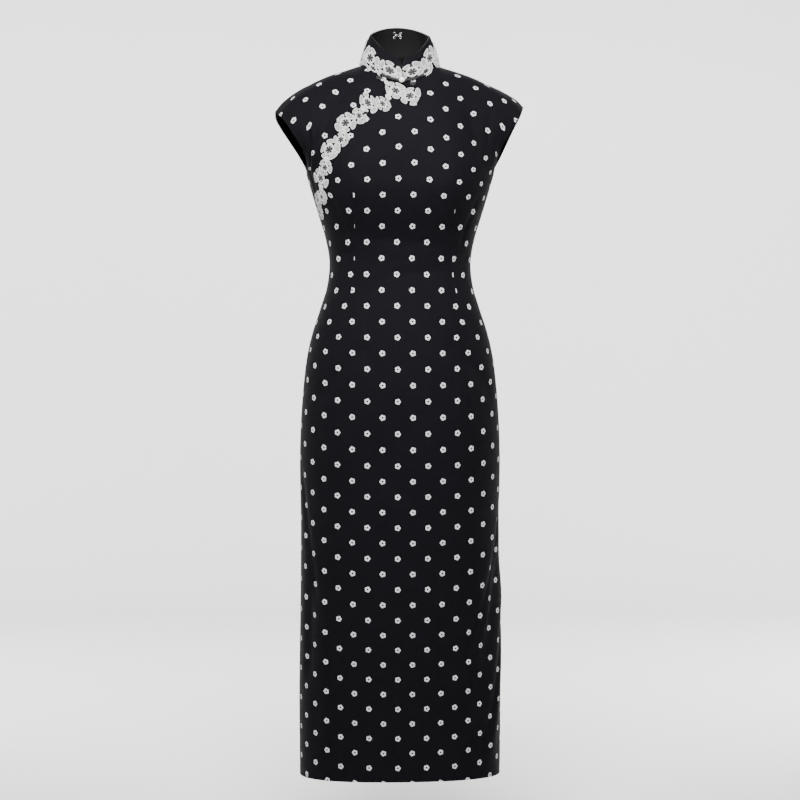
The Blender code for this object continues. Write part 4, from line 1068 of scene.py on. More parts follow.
# ---- the cloth panels ----
# Where the rows of florets lie, as height along the cloth from the hem and row number.
ROW_RISE = np.array([26, 270, 525, 1111]) * MM
ROW_NUMBER = np.array([0, 5, 10, 21], float)
PRINT_PITCH = 50.5 * MM  # from floret to floret along a row
HEM_CLOSING = 0.06  # share by which the florets of a row close up towards the hem
HEM_CLOSES_FROM = -0.75  # height where the closing up starts
HEM_CLOSES_OVER = 0.40  # and the height that it takes to reach its full share
CHEST_OPENING = 0.06  # share by which the florets of a row open out over the chest
NECK_OPENING = 0.07  # and by how much more they do so just below the neck
CHEST_SIDEWAYS = 2.4 * MM  # how far the rows lie aside on the chest
CHEST_FROM, CHEST_OVER = -0.26, 0.14  # height where the chest's changes start, and their reach
CHEST_MIDDLE = 0.020  # half the width at the middle of the chest where the rows run level
NECK_FROM, NECK_OVER = -0.10, 0.07  # the same heights for what happens below the neck
SKIRT_FROM, SKIRT_OVER = -0.42, 0.10  # and for the rows' rise over the skirt
NO_DART = 0.050  # how far past a dart counts as away from any
DART_END = 0.03  # length over which the crease of a dart dies away
ROW_PITCH = 52 * MM
PRINT_START = 12.36 * MM
CHEST_DROP = {RIGHT: 0.09, LEFT: 0.18}  # how steeply the rows fall outwards over the chest
ROW_LIFT = 15 * MM  # how far the rows rise towards the side seams of the skirt

# The waist darts: height, how far out the dart lies, and the cloth it takes in. Millimetres.
BACK_DART = [
    (-200, 84, 0), (-255, 80, 12), (-310, 76, 22), (-360, 77, 26), (-412, 82, 16), (-463, 87, 4),
    (-505, 91, 0),
]
DARTS = {
    (FRONT, RIGHT): [
        (-215, 87, 0), (-255, 84, 19), (-310, 81, 16), (-360, 84, 22), (-412, 91, 11),
        (-463, 95, 1), (-515, 101, 0),
    ],
    (FRONT, LEFT): [
        (-215, 87, 0), (-255, 84, 10), (-310, 81, 22), (-360, 84, 30), (-412, 91, 21),
        (-463, 95, 6), (-515, 101, 0),
    ],
    (BACK, RIGHT): BACK_DART,
    (BACK, LEFT): BACK_DART,
}


# How far each piece was laid off the body's own grid when it was cut: across and along.
PRINT_SHIFT = {"front_main_cloth": (0.0, 2.5 * MM), "front_yoke_cloth": (-7 * MM, 0.0)}


def print_place(name, side, across, level):
    """Attributes of the cloth at these places: its flat position, its place in the repeat of
    florets, and its nearest dart (how far past it, cloth taken in, how deep its crease)."""
    run, rise = flat(side, across, level)
    points = body(side, across, level)
    height = points[..., 2]
    sideways, upwards = PRINT_SHIFT.get(name, (0.0, 0.0))
    on_skirt = ease((SKIRT_FROM - height) / SKIRT_OVER)
    lifted = rise + upwards - ROW_LIFT * across**2 * on_skirt
    on_chest = ease((height - CHEST_FROM) / CHEST_OVER)
    aside = np.clip(np.abs(points[..., 0]) - CHEST_MIDDLE, 0, None)
    lifted = lifted + on_chest * aside * np.where(across > 0, CHEST_DROP[LEFT], CHEST_DROP[RIGHT])
    row = np.interp(lifted, ROW_RISE, ROW_NUMBER)
    row += (lifted - np.clip(lifted, ROW_RISE[0], ROW_RISE[-1])) / ROW_PITCH
    intake = np.zeros_like(run)
    past = np.full_like(run, NO_DART)
    crease = np.zeros_like(run)
    for hand in (RIGHT, LEFT):
        rows = np.array(DARTS[side, hand], float)[::-1] * MM
        own = hand * across >= 0
        line = np.interp(height, rows[:, 0], rows[:, 1])
        taken = np.interp(height, rows[:, 0], rows[:, 2])
        x = np.abs(points[..., 0])
        past = np.where(own, x - line, past)
        intake = np.where(own, hand * taken, intake)
        lower, upper = rows[0, 0], rows[-1, 0]
        ends = ease((height - lower) / DART_END) * ease((upper - height) / DART_END)
        crease = np.where(own, ends, crease)
    near_top = ease((height - NECK_FROM) / NECK_OVER)
    closer = 1 + HEM_CLOSING * ease((HEM_CLOSES_FROM - height) / HEM_CLOSES_OVER)
    wider = 1 + CHEST_OPENING * on_chest + NECK_OPENING * near_top
    laid = (run * closer + sideways - CHEST_SIDEWAYS * on_chest) / wider
    u = (laid + PRINT_START) / PRINT_PITCH
    return {
        "flat": np.stack([run, rise, 0 * run], -1),
        "print": np.stack([u, row, 0 * run], -1),
        "dart": np.stack([past, intake / FLORET_PITCH, crease], -1),
    }


def panel(name, side, across, level, finish_names, sideways=None):
    """One cut piece of the body with the thickness of its cloth and its turned hem."""
    cloth = bpy.context.scene.cheongsam_cloth
    hem = ease((HEM_Z + cloth.hem_turning - level) / (2 * MM))
    places = print_place(name, side, across, level)
    fields = {key: value.reshape(-1, 3) for key, value in places.items()}
    layers = []
    for out in (0.0 * level, -cloth.thickness * (1 + 0.7 * hem)):
        points = part_seams(side, across, level, off_cloth(side, across, level, out))
        if sideways is not None:
            points = sideways(points)
        layers.append(points)
    chosen = [finishes()[word] for word in finish_names]
    return cloth_shell(name, *layers, chosen, fields, flip=side == BACK)


SKIRT_ROWS = np.concatenate([np.linspace(HEM_Z, -0.600, 101), np.linspace(-0.600, -0.300, 61)[1:]])


def front_levels(limit):
    """Rows of the front's main panel: level ones up to the waist, and above it rows that
    open out like a fan to the opening's line."""
    kink = (UNDERARM_Z + 0.300) / (TOP_LEVEL + 0.300)
    share = np.concatenate([np.linspace(0, kink, 24), np.linspace(kink, 1, 36)[1:]])[1:]
    low = np.repeat(SKIRT_ROWS[:, None], len(limit), axis=1)
    high = -0.300 + (limit[None, :] + 0.300) * share[:, None]
    return np.concatenate([low, high])


def dense_line():
    """The opening's line as finely as the panels need it."""
    places = np.array(OPENING)
    steps = np.linalg.norm(np.diff(places, axis=0) * PLACE_SCALE, axis=1)
    run = np.concatenate([[0], np.cumsum(steps)])
    reads = np.linspace(0, run[-1], 240)
    line = np.column_stack([smooth(run, places[:, 0], reads), smooth(run, places[:, 1], reads)])
    line[0], line[-1] = places[0], places[-1]
    return line


def away_from_opening(line, across, level, shift):
    """Moves the points on the opening's line half a seam gap to their own panel's side."""
    before, after = line[np.clip(np.arange(len(line)) - 1, 0, None)], line[1:]
    after = np.concatenate([after, line[-1:]])
    along = body(FRONT, *after.T) - body(FRONT, *before.T)
    normal = body_normal(FRONT, *line.T)
    turned = unit(np.cross(along, normal)) * shift * SEAM_LINE / 2
    limit = np.interp(across, line[::-1, 0], line[::-1, 1])
    on_line = (across < 1e-9) & (np.abs(level - limit) < 1e-7)
    moves = np.stack([np.interp(across, line[::-1, 0], turned[::-1, i]) for i in range(3)], -1)
    return lambda points: points + np.where(on_line[..., None], moves, 0.0)


def front_grids():
    line = dense_line()
    columns = np.linspace(-1, 1, 111)
    limit = np.where(columns < 0, np.interp(columns, line[::-1, 0], line[::-1, 1]), TOP_LEVEL)
    level = front_levels(limit)
    main = np.broadcast_to(columns, level.shape), level
    columns = np.linspace(-1, -0.008, 62)
    limit = np.interp(columns, line[::-1, 0], line[::-1, 1])
    kink = (UNDERARM_Z - OPENING[-1][1]) / (TOP_LEVEL - OPENING[-1][1])
    share = np.concatenate([np.linspace(0, kink, 20), np.linspace(kink, 1, 34)[1:]])
    level = limit[None, :] + (TOP_LEVEL - limit[None, :]) * share[:, None]
    yoke = np.broadcast_to(columns, level.shape), level
    return line, main, yoke


def upper_levels(count):
    return np.linspace(UNDERARM_Z, TOP_LEVEL, count)[1:]


def armhole_strip(hand):
    """Places of the facing behind an armhole edge."""
    columns = np.sort(hand * np.linspace(FACING_FROM, 1, 12))
    levels = np.linspace(UNDERARM_Z, TOP_LEVEL, 34)
    return np.meshgrid(columns, levels)


# ---- the collar ----
def collar_grid(columns, rows, low, high):
    share = np.linspace(0, 1, columns)
    height = low + (high - low) * np.linspace(0, 1, rows)
    return np.meshgrid(share, height)


def collar_shell(name, hand, inset, thickness, low, high, finish):
    """One half of the collar or of its lining, with softly rounded edges."""
    share, height = collar_grid(73, 21, low, high)
    at_rim = np.clip((height - low) / (high - low), 0, 1)
    tuck = 0.28 * thickness * ease((at_rim - 0.95) / 0.05)
    layers = []
    for out, roll in ((-inset, -1), (-inset - thickness, 1)):
        layers.append(off_collar(hand, share, height, out + roll * tuck))
    run = hand * share * COLLAR_RUN
    up = height * COLLAR_HEIGHT
    fields = {
        "flat": np.stack([run, up, 0 * run], -1).reshape(-1, 3),
        "print": np.zeros((run.size, 3)),
        "dart": np.stack([up - 0.9 * COLLAR_HEIGHT, 0 * run, 0 * run], -1).reshape(-1, 3),
    }
    return cloth_shell(name, *layers, [finish], fields, flip=hand < 0)


# ---- flower lace ----
# Radius of the ring of petals, and of the open centre.
LACE_SIZES = {
    "big": {"reach": 18.4 * MM, "hole": 6.9 * MM},
    "small": {"reach": 14.0 * MM, "hole": 5.3 * MM},
    "bud": {"reach": 6.8 * MM, "hole": 1.2 * MM},
}
# The flowers of the slanted lace: across and level of each, its size and its turn.
SLANT_FLOWERS = [
    (0.038, -0.0622, "big", 10),
    (-0.050, -0.0525, "big", 52),
    (-0.104, -0.0425, "bud", 15),
    (-0.092, -0.062, "bud", 0),
    (-0.100, -0.070, "bud", 0),
    (-0.137, -0.0855, "small", 22),
    (-0.241, -0.0955, "big", 40),
    (-0.272, -0.106, "bud", 0),
    (-0.298, -0.117, "small", 0),
    (-0.400, -0.1285, "big", 66),
    (-0.414, -0.138, "bud", 20),
    (-0.417, -0.148, "small", 30),
    (-0.512, -0.159, "big", 12),
    (-0.537, -0.171, "bud", 40),
    (-0.560, -0.183, "small", 50),
    (-0.641, -0.199, "big", 28),
    (-0.672, -0.215, "bud", 10),
    (-0.699, -0.229, "small", 8),
    (-0.806, -0.233, "small", 44),
    (-0.844, -0.252, "small", 20),
]


def local_scale(across, level):
    """Metres of cloth for one unit of across at this place."""
    step = 0.02
    span = body(FRONT, across + step, level) - body(FRONT, across - step, level)
    return float(np.linalg.norm(span)) / (2 * step)


def level_scale(across, level):
    step = 4 * MM
    span = body(FRONT, across, level + step) - body(FRONT, across, level - step)
    return float(np.linalg.norm(span)) / (2 * step)


# The flowers of the collar lace: metres round from the middle front, height above the
# neck seam, size and turn.
COLLAR_FLOWERS = {
    RIGHT: [
        (0.0060, 0.0090, "bud", 0),
        (0.0190, 0.0132, "big", 18),
        (0.0450, 0.0012, "small", 50),
        (0.0552, 0.0165, "big", 30),
        (0.0780, 0.0085, "small", 10),
        (0.0950, 0.0195, "big", 60),
        (0.1165, 0.0090, "small", 35),
        (0.1335, 0.0200, "big", 5),
        (0.1545, 0.0090, "small", 22),
        (0.1700, 0.0200, "big", 48),
    ],
    LEFT: [
        (0.0147, 0.0130, "big", 54),
        (0.0360, 0.0030, "small", 14),
        (0.0495, 0.0205, "big", 36),
        (0.0710, 0.0085, "small", 62),
        (0.0885, 0.0195, "big", 20),
        (0.1100, 0.0090, "small", 40),
        (0.1275, 0.0200, "big", 66),
        (0.1485, 0.0090, "small", 28),
        (0.1665, 0.0195, "big", 0),
    ],
}
COLLAR_RUN = 0.178  # run that half the collar's lace is laid out on, its length near the rim
COLLAR_HEIGHT = 0.046
PETALS = 5


def ring_pad(outline_in, outline_out, profile):
    """A closed ring-shaped pad between two outlines. Each row of the profile is a place from
    the inner outline (0) to the outer one (1), a height, and how bright the thread is painted, which is
    painted light: lighter where raised, darker where low."""
    rows, threads = [], []
    sides = len(outline_out)
    run = np.arange(sides) * 0.9 * MM
    # light is painted light: raised rows are painted lighter, low rows darker.
    for share, height, light in profile:
        flat_ring = outline_in * (1 - share) + outline_out * share
        rows.append(np.column_stack([flat_ring, np.full(sides, height)]))
        threads.append(np.column_stack([run, 0 * run, np.full(sides, light)]))
    faces = quads(len(rows), sides, closed=True)
    last = (len(rows) - 1) * sides
    index = np.arange(sides)
    after = np.roll(index, -1)
    faces = np.concatenate([faces, np.column_stack([last + index, last + after, after, index])])
    return np.concatenate(rows), faces[:, ::-1].tolist(), np.concatenate(threads)


def petal_pad(centre, along, half_length, half_width):
    """A domed petal of satin stitch with a cord round its edge, painted lighter where it is raised (painted
    highlight) and darker in the low satin (painted shade).
    """
    sides = 26
    turns = np.arange(sides) * math.tau / sides
    wide = half_width * (1 + 0.16 * np.cos(turns))
    outline = np.stack([half_length * np.cos(turns), wide * np.sin(turns)], -1)
    rows, threads = [], []
    # light is painted light: the raised cord rows are painted lit and the low satin rows are painted in
    # shade.
    for share, height, light in PETAL_PAINTED_LIGHT_PROFILE:
        local = outline * share
        rows.append(np.column_stack([local, np.full(sides, height)]))
        corded = share > 0.70
        thread = turns * half_width if corded else local[:, 1] + 0.15 * local[:, 0]
        threads.append(np.column_stack([thread, 0 * thread, np.full(sides, light)]))
    points = np.concatenate(rows)
    across = np.array([-along[1], along[0]])
    flat_points = centre + points[:, :1] * along + points[:, 1:2] * across
    faces = quads(len(rows), sides, closed=True)[:, ::-1].tolist()
    faces.append(list(range(sides)))
    faces.append([(len(rows) - 1) * sides + i for i in reversed(range(sides))])
    return np.column_stack([flat_points, points[:, 2]]), faces, np.concatenate(threads)


# Share of the outline, height as a share of the petal's rise, and brightness of the thread, which is painted
# light: the raised cord painted lit, the low satin painted in shade.
PETAL_PAINTED_LIGHT_PROFILE = [
    (0.04, 0.62, 0.15),
    (0.34, 0.62, 0.10),
    (0.56, 0.48, 0.0),
    (0.68, 0.40, 0.0),
    (0.72, 0.80, 0.9),
    (0.84, 1.00, 1.0),
    (0.96, 0.84, 0.95),
    (1.00, 0.35, 0.5),
    (0.985, 0.0, 0.2),
]
# The core ring's rows, in the same columns. Its brightness is painted light too: lit where raised, shaded
# where low.
CORE_PAINTED_LIGHT_PROFILE = [
    (0.0, 0.0, 0.2),
    (0.0, 0.55, 0.5),
    (0.14, 0.95, 1.0),
    (0.40, 1.30, 1.0),
    (0.66, 1.30, 1.0),
    (0.86, 1.05, 0.8),
    (1.0, 0.60, 0.4),
    (1.0, 0.0, 0.2),
]
PETAL_SHARES = (1.20, 0.84, 1.04, 0.80, 1.08)  # how broad each petal of a flower is
TEETH = 6  # small teeth of thread round the open middle of a flower


def flower_pads(size, number):
    """The pads of one flower round (0, 0): its petals, and the core round its open middle."""
    sizes = LACE_SIZES[size]
    far, hole = sizes["reach"], sizes["hole"]
    pads = []
    if size == "bud":
        turns = np.arange(24) * math.tau / 24
        circle = np.stack([np.cos(turns), np.sin(turns)], -1)
        reach = far * (0.80 + 0.07 * np.cos(PETALS * turns))[:, None]
        return [ring_pad(circle * hole, circle * reach, CORE_PAINTED_LIGHT_PROFILE)]
    band = 0.30 * (far - hole)
    for petal in range(PETALS):
        angle = petal * math.tau / PETALS + 0.05 * math.sin(3.1 * number + 1.7 * petal)
        along = np.array([math.cos(angle), math.sin(angle)])
        inner, outer = hole + 0.75 * band, far * (1 + 0.025 * math.sin(5.3 * number + 2.3 * petal))
        outer *= 1 + 0.25 * (PETAL_SHARES[petal] - 1)
        half_length = (outer - inner) / 2
        half_width = 0.60 * (outer + inner) / 2 * PETAL_SHARES[petal]
        pads.append(petal_pad(along * (inner + half_length), along, half_length, half_width))
    turns = np.arange(96) * math.tau / 96
    circle = np.stack([np.cos(turns), np.sin(turns)], -1)
    gap = np.abs((turns * TEETH / math.tau) % 1.0 - 0.5) * 2  # 0 at a tooth, 1 between two
    tooth = np.exp(-((gap / 0.21) ** 2))
    inner = circle * (hole * (1.0 - 0.62 * tooth))[:, None]
    outer = circle * (hole + band) * (1 + 0.03 * np.cos(PETALS * turns))[:, None]
    pads.append(ring_pad(inner, outer, CORE_PAINTED_LIGHT_PROFILE))
    disc = circle * hole
    rows = [np.column_stack([disc * share, np.full(96, 0.30)]) for share in (0.02, 0.5, 1.04)]
    pads.append((np.concatenate(rows), quads(3, 96, closed=True)[:, ::-1].tolist(), np.zeros((288, 3))))
    return pads


def covers_middle(placed, number, middles, flowers):
    """Whether a pad would lie over the open middle of another flower."""
    for other, middle in enumerate(middles):
        if other == number or middle is None or flowers[other][2] == "bud":
            continue
        if np.linalg.norm(placed - middle, axis=1).min() < 0.72 * LACE_SIZES[flowers[other][2]]["hole"]:
            return True
    return False


def lace_strip(name, flowers, surface, lift, flip=False):
    """A strip of flower lace, laid on a surface point by point."""
    rise = bpy.context.scene.cheongsam_trim.petal_rise
    points, faces, threads, picks, base = [], [], [], [], 0
    middles = [surface(x, y, np.zeros(1), np.zeros(1), lift) for x, y, size, turn in flowers]
    for number, (x, y, size, turn) in enumerate(flowers):
        angle = math.radians(turn)
        turned = np.array([[math.cos(angle), -math.sin(angle)], [math.sin(angle), math.cos(angle)]])
        for step, (pad, pad_faces, thread) in enumerate(flower_pads(size, number)):
            offset = pad[:, :2] @ turned.T
            height = lift + pad[:, 2] * rise + 0.06 * MM * (step % 3) + 0.10 * MM * (number % 2)
            placed = surface(x, y, offset[:, 0], offset[:, 1], height)
            if placed is None or covers_middle(placed, number, middles, flowers):
                continue
            points.append(placed)
            faces += [[base + i for i in face] for face in pad_faces]
            threads.append(thread)
            picks += [int(not thread.any())] * len(pad_faces)
            base += len(placed)
    chosen = [finishes()["lace"], finishes()["middles"]]
    if flip:
        faces = [face[::-1] for face in faces]
    fields = {"thread": np.concatenate(threads)}
    return mesh_piece(name, np.concatenate(points), faces, chosen, picks, fields, 70)


def slant_surface(across, level, dx, dy, lift):
    """Points of the slanted lace, or None for a pad that the neck cord would cover."""
    a = across + dx / local_scale(across, level)
    b = level + dy / level_scale(across, level)
    top = TOP_LEVEL - 5.8 * MM
    if b.mean() > top:
        return None
    return off_cloth(FRONT, np.clip(a, -0.995, 1), np.minimum(b, top), lift)


OVERHANG = 9 * MM  # how far the collar's lace may hang over the neck seam beside the cord


def collar_surface(hand):
    """Points of one half of the collar's lace, whose lowest petals hang over the neck seam."""

    def place(run, height, dx, dy, lift):
        share, up = np.clip((run + dx) / COLLAR_RUN, 0.0, 1.0), height + dy
        hang = OVERHANG * ease((share - 0.175) / 0.02)
        if (up + hang).mean() < 0.8 * MM:
            return None
        up = np.maximum(up, -hang)
        on_collar = off_collar(hand, share, np.clip(up / COLLAR_HEIGHT, 0.0, 1.0), lift)
        angle = share * math.pi
        under = np.minimum(up, 0.0) + TOP_LEVEL
        from_front = np.clip(angle, 0, math.pi / 2)
        on_front = off_cloth(FRONT, hand * NECK_ACROSS * from_front / (math.pi / 2), under, lift)
        from_back = math.pi - np.clip(angle, math.pi / 2, math.pi)
        on_back = off_cloth(BACK, hand * NECK_ACROSS * from_back / (math.pi / 2), under, lift)
        on_body = np.where((angle < math.pi / 2)[:, None], on_front, on_back)
        weight = ease((up + 2.5 * MM) / (5 * MM))[:, None]
        return on_body * (1 - weight) + on_collar * weight

    return place


# ---- cord, knots and button ----
CORD_LEVEL = TOP_LEVEL - 3.4 * MM
CORD_END_X = 0.036
PEARL_X = -0.002
KNOT_RADIUS = 6.0 * MM
KNOT_THICKNESS = 2.6 * MM
KNOTS = {
    RIGHT: {"across": -0.157, "level": TOP_LEVEL - 13.5 * MM, "clear": 0.4 * MM},
    LEFT: {"across": 0.062, "level": TOP_LEVEL - 11.5 * MM, "clear": 0.4 * MM},
}


def neck_cord_path(hand):
    start = PEARL_RADIUS + 0.4 * CORD_RADIUS + hand * PEARL_X
    xs = np.linspace(start - 1.5 * MM, CORD_END_X, 12)
    across = hand * NECK_ACROSS * np.arcsin(xs / NECK_HALF_WIDTH) / (math.pi / 2)
    return off_cloth(FRONT, across, CORD_LEVEL, 0.6 * MM + CORD_RADIUS)


def on_place(place, points):
    """Points given in a place's own frame, in the dress's frame."""
    matrix = np.array(place)
    return np.asarray(points) @ matrix[:3, :3].T + matrix[:3, 3]


def rosette_path(radius, lobes, height):
    """The path of a cord coiled into a rosette of loops."""
    t = np.linspace(0, math.tau, 181)[:-1]
    reach = radius * (0.60 + 0.34 * np.cos(lobes * t))
    z = height * (0.55 - 0.18 * np.cos(lobes * t) + 0.10 * np.sin(2 * lobes * t))
    path = np.stack([reach * np.cos(t), reach * np.sin(t), z], -1)
    return np.concatenate([path, path[:2]])


def place_on_body(side, across, level, out):
    """A frame on the cloth: X across, Y up along the cloth, Z out of it."""
    point = Vector(off_body(side, across, level, out))
    normal = Vector(body_normal(side, across, level))
    step = 2 * MM
    up = Vector(body(side, across, level) - body(side, across, level - step))
    up = (up - normal * up.dot(normal)).normalized()
    right = up.cross(normal)
    turn = Matrix((right, up, normal)).transposed().to_4x4()
    return Matrix.Translation(point) @ turn


# ---- hook and eye inside the collar ----
WIRE_RADIUS = 0.5 * MM
LOOP_RADIUS = 2.1 * MM
HOOK_HEIGHT = 0.76
INSIDE_RADIUS = 0.046  # the curve of the collar's inside at the middle back
INSIDE_OUT = -(COLLAR_CLOTH + SEAM_GAP + LINING_CLOTH)


def collar_inside_frame(height):
    """A frame at the middle back of the collar: X across, Y up, Z into the neck."""
    base = Vector(collar(LEFT, np.array(1.0), np.array(height)))
    base.x = 0.0
    step = 0.04
    up = Vector(collar(LEFT, np.array(1.0), np.array(height + step))) - Vector(
        collar(LEFT, np.array(1.0), np.array(height - step))
    )
    up.x = 0.0
    up.normalize()
    inwards = Vector((1, 0, 0)).cross(up)
    if inwards.y > 0:
        inwards.negate()
    clear = -INSIDE_OUT + 0.45 * MM + WIRE_RADIUS
    turn = Matrix((up.cross(inwards), up, inwards)).transposed().to_4x4()
    return Matrix.Translation(base + inwards * clear) @ turn


def wire_piece(name, outline):
    """A bent wire on the collar's inside, smooth and round."""
    place = collar_inside_frame(HOOK_HEIGHT)
    bent = [(x, y, z + x * x / (2 * INSIDE_RADIUS)) for x, y, z in outline]
    path = resampled(on_place(place, bent), 0.35 * MM)
    return tubes(name, [path], WIRE_RADIUS, finishes()["metal"], 14)


def arc(centre, radius, start, end, count):
    turns = np.radians(np.linspace(start, end, count))
    return [(centre[0] + radius * math.cos(t), centre[1] + radius * math.sin(t), 0.0) for t in turns]


def hook_and_eye():
    """A wire hook on one half of the collar that grips a wire eye on the other."""
    reach = LOOP_RADIUS + WIRE_RADIUS + 0.35 * MM
    x = 5.2 * MM
    bill = 2.6 * MM
    hook = (
        arc((x, reach), LOOP_RADIUS, 255, -45, 9)
        + [(x - 4.0 * MM, 1.1 * MM, 0.3 * MM), (-bill, 0.9 * MM, 1.9 * MM)]
        + [(-bill - 0.9 * MM, 0.0, 2.1 * MM)]
        + [(-bill, -0.9 * MM, 1.9 * MM), (x - 4.0 * MM, -1.1 * MM, 0.3 * MM)]
        + arc((x, -reach), LOOP_RADIUS, 45, -255, 9)
    )
    eye_x = -5.4 * MM
    eye = (
        arc((eye_x, 3.9 * MM), LOOP_RADIUS * 0.8, -60, -330, 8)
        + arc((-3.1 * MM, 0.0), 2.1 * MM, 70, -70, 6)
        + arc((eye_x, -3.9 * MM), LOOP_RADIUS * 0.8, 330, 60, 8)
    )
    return wire_piece("hook_wire", hook), wire_piece("eye_wire", eye)


# ---- inside work ----
def stitch_item(name, length, width, rise, finish):
    """One low stitch, lying along X."""
    xs = np.linspace(-length / 2, length / 2, 5)
    bow = rise * np.array([0.0, 0.8, 1.0, 0.8, 0.0])
    rows = []
    for side, height in ((-1.0, 0.0), (-0.7, 0.8), (0.7, 0.8), (1.0, 0.0)):
        rows.append(np.stack([xs, np.full(5, side * width / 2), bow + height * width * 0.5], -1))
    fields = {"thread": np.array(rows).reshape(-1, 3)}
    return mesh_piece(name, np.array(rows), quads(4, 5)[:, ::-1].tolist(), [finish], None, fields)


def overlock_item(name, width, finish):
    """One slanting overlock stitch across the edge of a seam allowance."""
    half = width / 2
    path = np.array([(0, -half, 0.1), (0.3, -half / 2, 0.45), (0.6, half / 2, 0.45), (0.9, half, 0.1)])
    path[:, 0] -= 0.45
    return tubes(name, [path * (MM, 1, MM)], 0.18 * MM, finish, 5)


TAPE = 0.5 * MM  # thickness of the tapes and pressed seam allowances inside


def inside_strip(name, side, across, level, depth, finish):
    """A strip of cloth lying on the inside of a body panel."""
    layers = [
        part_seams(side, across, level, off_cloth(side, across, level, -depth - more))
        for more in (0.0, TAPE)
    ]
    run, rise = flat(side, across, level)
    still = np.zeros((run.size, 3))
    fields = {"flat": np.stack([run, rise, 0 * run], -1).reshape(-1, 3), "print": still, "dart": still}
    return cloth_shell(name, *layers, [finish], fields, flip=side == BACK)


def neck_tape(name, hand, finish):
    """The tape that covers the neck seam from the inside, over the collar's foot."""
    share = np.linspace(0, 1, 61)
    angle = share * math.pi
    at_front = angle < math.pi / 2
    quarter = np.where(at_front, angle, math.pi - angle) / (math.pi / 2)
    across = hand * NECK_ACROSS * quarter
    under_lining = COLLAR_CLOTH + SEAM_GAP + LINING_CLOTH + 0.15 * MM
    rows = [off_collar(hand, share, up, -under_lining) for up in (0.16, 0.10, 0.045)]
    below = bpy.context.scene.cheongsam_cloth.thickness + 0.8 * MM
    for drop_down in (4.0, 7.0, 10.0):
        level = TOP_LEVEL - drop_down * MM
        front = off_cloth(FRONT, across, level, -below)
        back = off_cloth(BACK, across, level, -below)
        rows.append(np.where(at_front[:, None], front, back))
    rows = np.stack(rows)
    inwards = xyz(-np.sin(angle) * hand, np.cos(angle), 0.35)
    flat_place = np.stack(np.meshgrid(share * 0.2, np.arange(6) * 3 * MM), -1)
    still = np.zeros((flat_place.size // 2, 3))
    on_flat = np.column_stack([flat_place.reshape(-1, 2), still[:, 0]])
    fields = {"flat": on_flat, "print": still, "dart": still}
    return cloth_shell(name, rows, rows + unit(inwards) * TAPE, [finish], fields, flip=hand < 0)


def stitched_line(name, item, pitch, lines, outs, finish):
    carrier = lines_object(lines, outs)
    settings = {"Item": item, "Pitch": pitch, "Finish": finish}
    made = repeated(name, items_along_lines(), carrier, settings)
    drop(item)
    return made


# ---- the stage ----
def studio_floor(name, finish):
    """A pale floor that curves up into a wall behind the dress."""
    half, back, front, bend, height = 8.0, 6.4, -8.0, 2.2, 7.0
    floor_z = HEM_Z - 0.16
    turns = np.linspace(0, math.pi / 2, 17)
    profile = [(front, floor_z), (back - bend, floor_z)]
    profile += [(back - bend + bend * math.sin(t), floor_z + bend * (1 - math.cos(t))) for t in turns[1:]]
    profile.append((back, height))
    ys, zs = np.array(profile).T
    xs = np.linspace(-half, half, 9)
    points = np.stack(np.broadcast_arrays(xs[None, :], ys[:, None], zs[:, None]), -1)
    return mesh_piece(name, points, quads(len(ys), 9).tolist(), [finish], sharp=60)


def soft_box(name, location, target, size, power):
    lamp = bpy.data.lights.new(name, "AREA")
    lamp.shape = "RECTANGLE"
    lamp.size, lamp.size_y = size
    lamp.energy = power
    made = link(bpy.data.objects.new(name, lamp))
    made.location = location
    aim = Vector(target) - Vector(location)
    made.rotation_euler = aim.to_track_quat("-Z", "Y").to_euler()
    return made


# ---- operators ----
# What each sheet hangs from, and the pieces sewn on it.
WORN = {
    "front_main_cloth": (
        ["back_left_cloth", "back_right_cloth"],
        ["slanted_lace", "hem_stitches", "side_seam_front_right", "side_seam_front_left"],
    ),
    "front_yoke_cloth": (["back_right_cloth"], ["rosette_knot_right"]),
    "back_right_cloth": (
        ["collar_right_cloth"],
        ["zip_tape_right", "zip_coil", "back_seam_right", "side_seam_back_right", "overlock_right"],
    ),
    "back_left_cloth": (
        ["collar_left_cloth"],
        ["zip_tape_left", "back_seam_left", "side_seam_back_left", "overlock_left"],
    ),
    "armhole_lining_front_right": (["front_yoke_cloth"], []),
    "armhole_lining_front_left": (["front_main_cloth"], []),
    "armhole_lining_back_right": (["back_right_cloth"], []),
    "armhole_lining_back_left": (["back_left_cloth"], []),
    "collar_right_cloth": (
        ["back_right_cloth"],
        ["collar_lace_right", "twisted_cord_right", "collar_piping_right"],
    ),
    "collar_left_cloth": (
        ["back_left_cloth"],
        ["collar_lace_left", "twisted_cord_left", "collar_piping_left"],
    ),
    "collar_right_lining": (["collar_right_cloth"], ["neck_tape_right"]),
    "collar_left_lining": (["collar_left_cloth"], ["neck_tape_left"]),
}
PIPING_RADIUS = 0.55 * MM  # of the piping along the collar's rim
BESIDE_MIDDLE = 1e-4  # where the strips beside the middle back start, as places across
ZIP_END = -0.540  # height of the lower end of the zip
ZIP_TAPE = 0.060  # width of each zip tape, as places across
ALLOWANCE = 0.055  # width of each seam allowance, as places across


def hang(piece, rests_on, extras=()):
    """Does nothing with the piece, what it rests on or its extras."""


def dress(piece, slot, *nodes):
    """Makes a piece ride on the garment in place of CAD nodes, which it hides; its slot is not used."""
    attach(piece, "garment")
    if nodes:
        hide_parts(*nodes)
    return piece


class CHEONGSAM_OT_front(bpy.types.Operator):
    """Cut and fold the front: its main panel and the yoke above the slanted opening"""

    bl_idname = "cheongsam.front"
    bl_label = "Front"

    def execute(self, context):
        line, main, yoke = front_grids()
        for name, node, (across, level), shift in (
            ("front_main_cloth", "front_main", main, -1),
            ("front_yoke_cloth", "front_yoke", yoke, 1),
        ):
            sideways = away_from_opening(line, across, level, shift)
            made = panel(name, FRONT, across, level, ("printed", "reverse"), sideways)
            dress(made, "sateen", node)
        return {"FINISHED"}


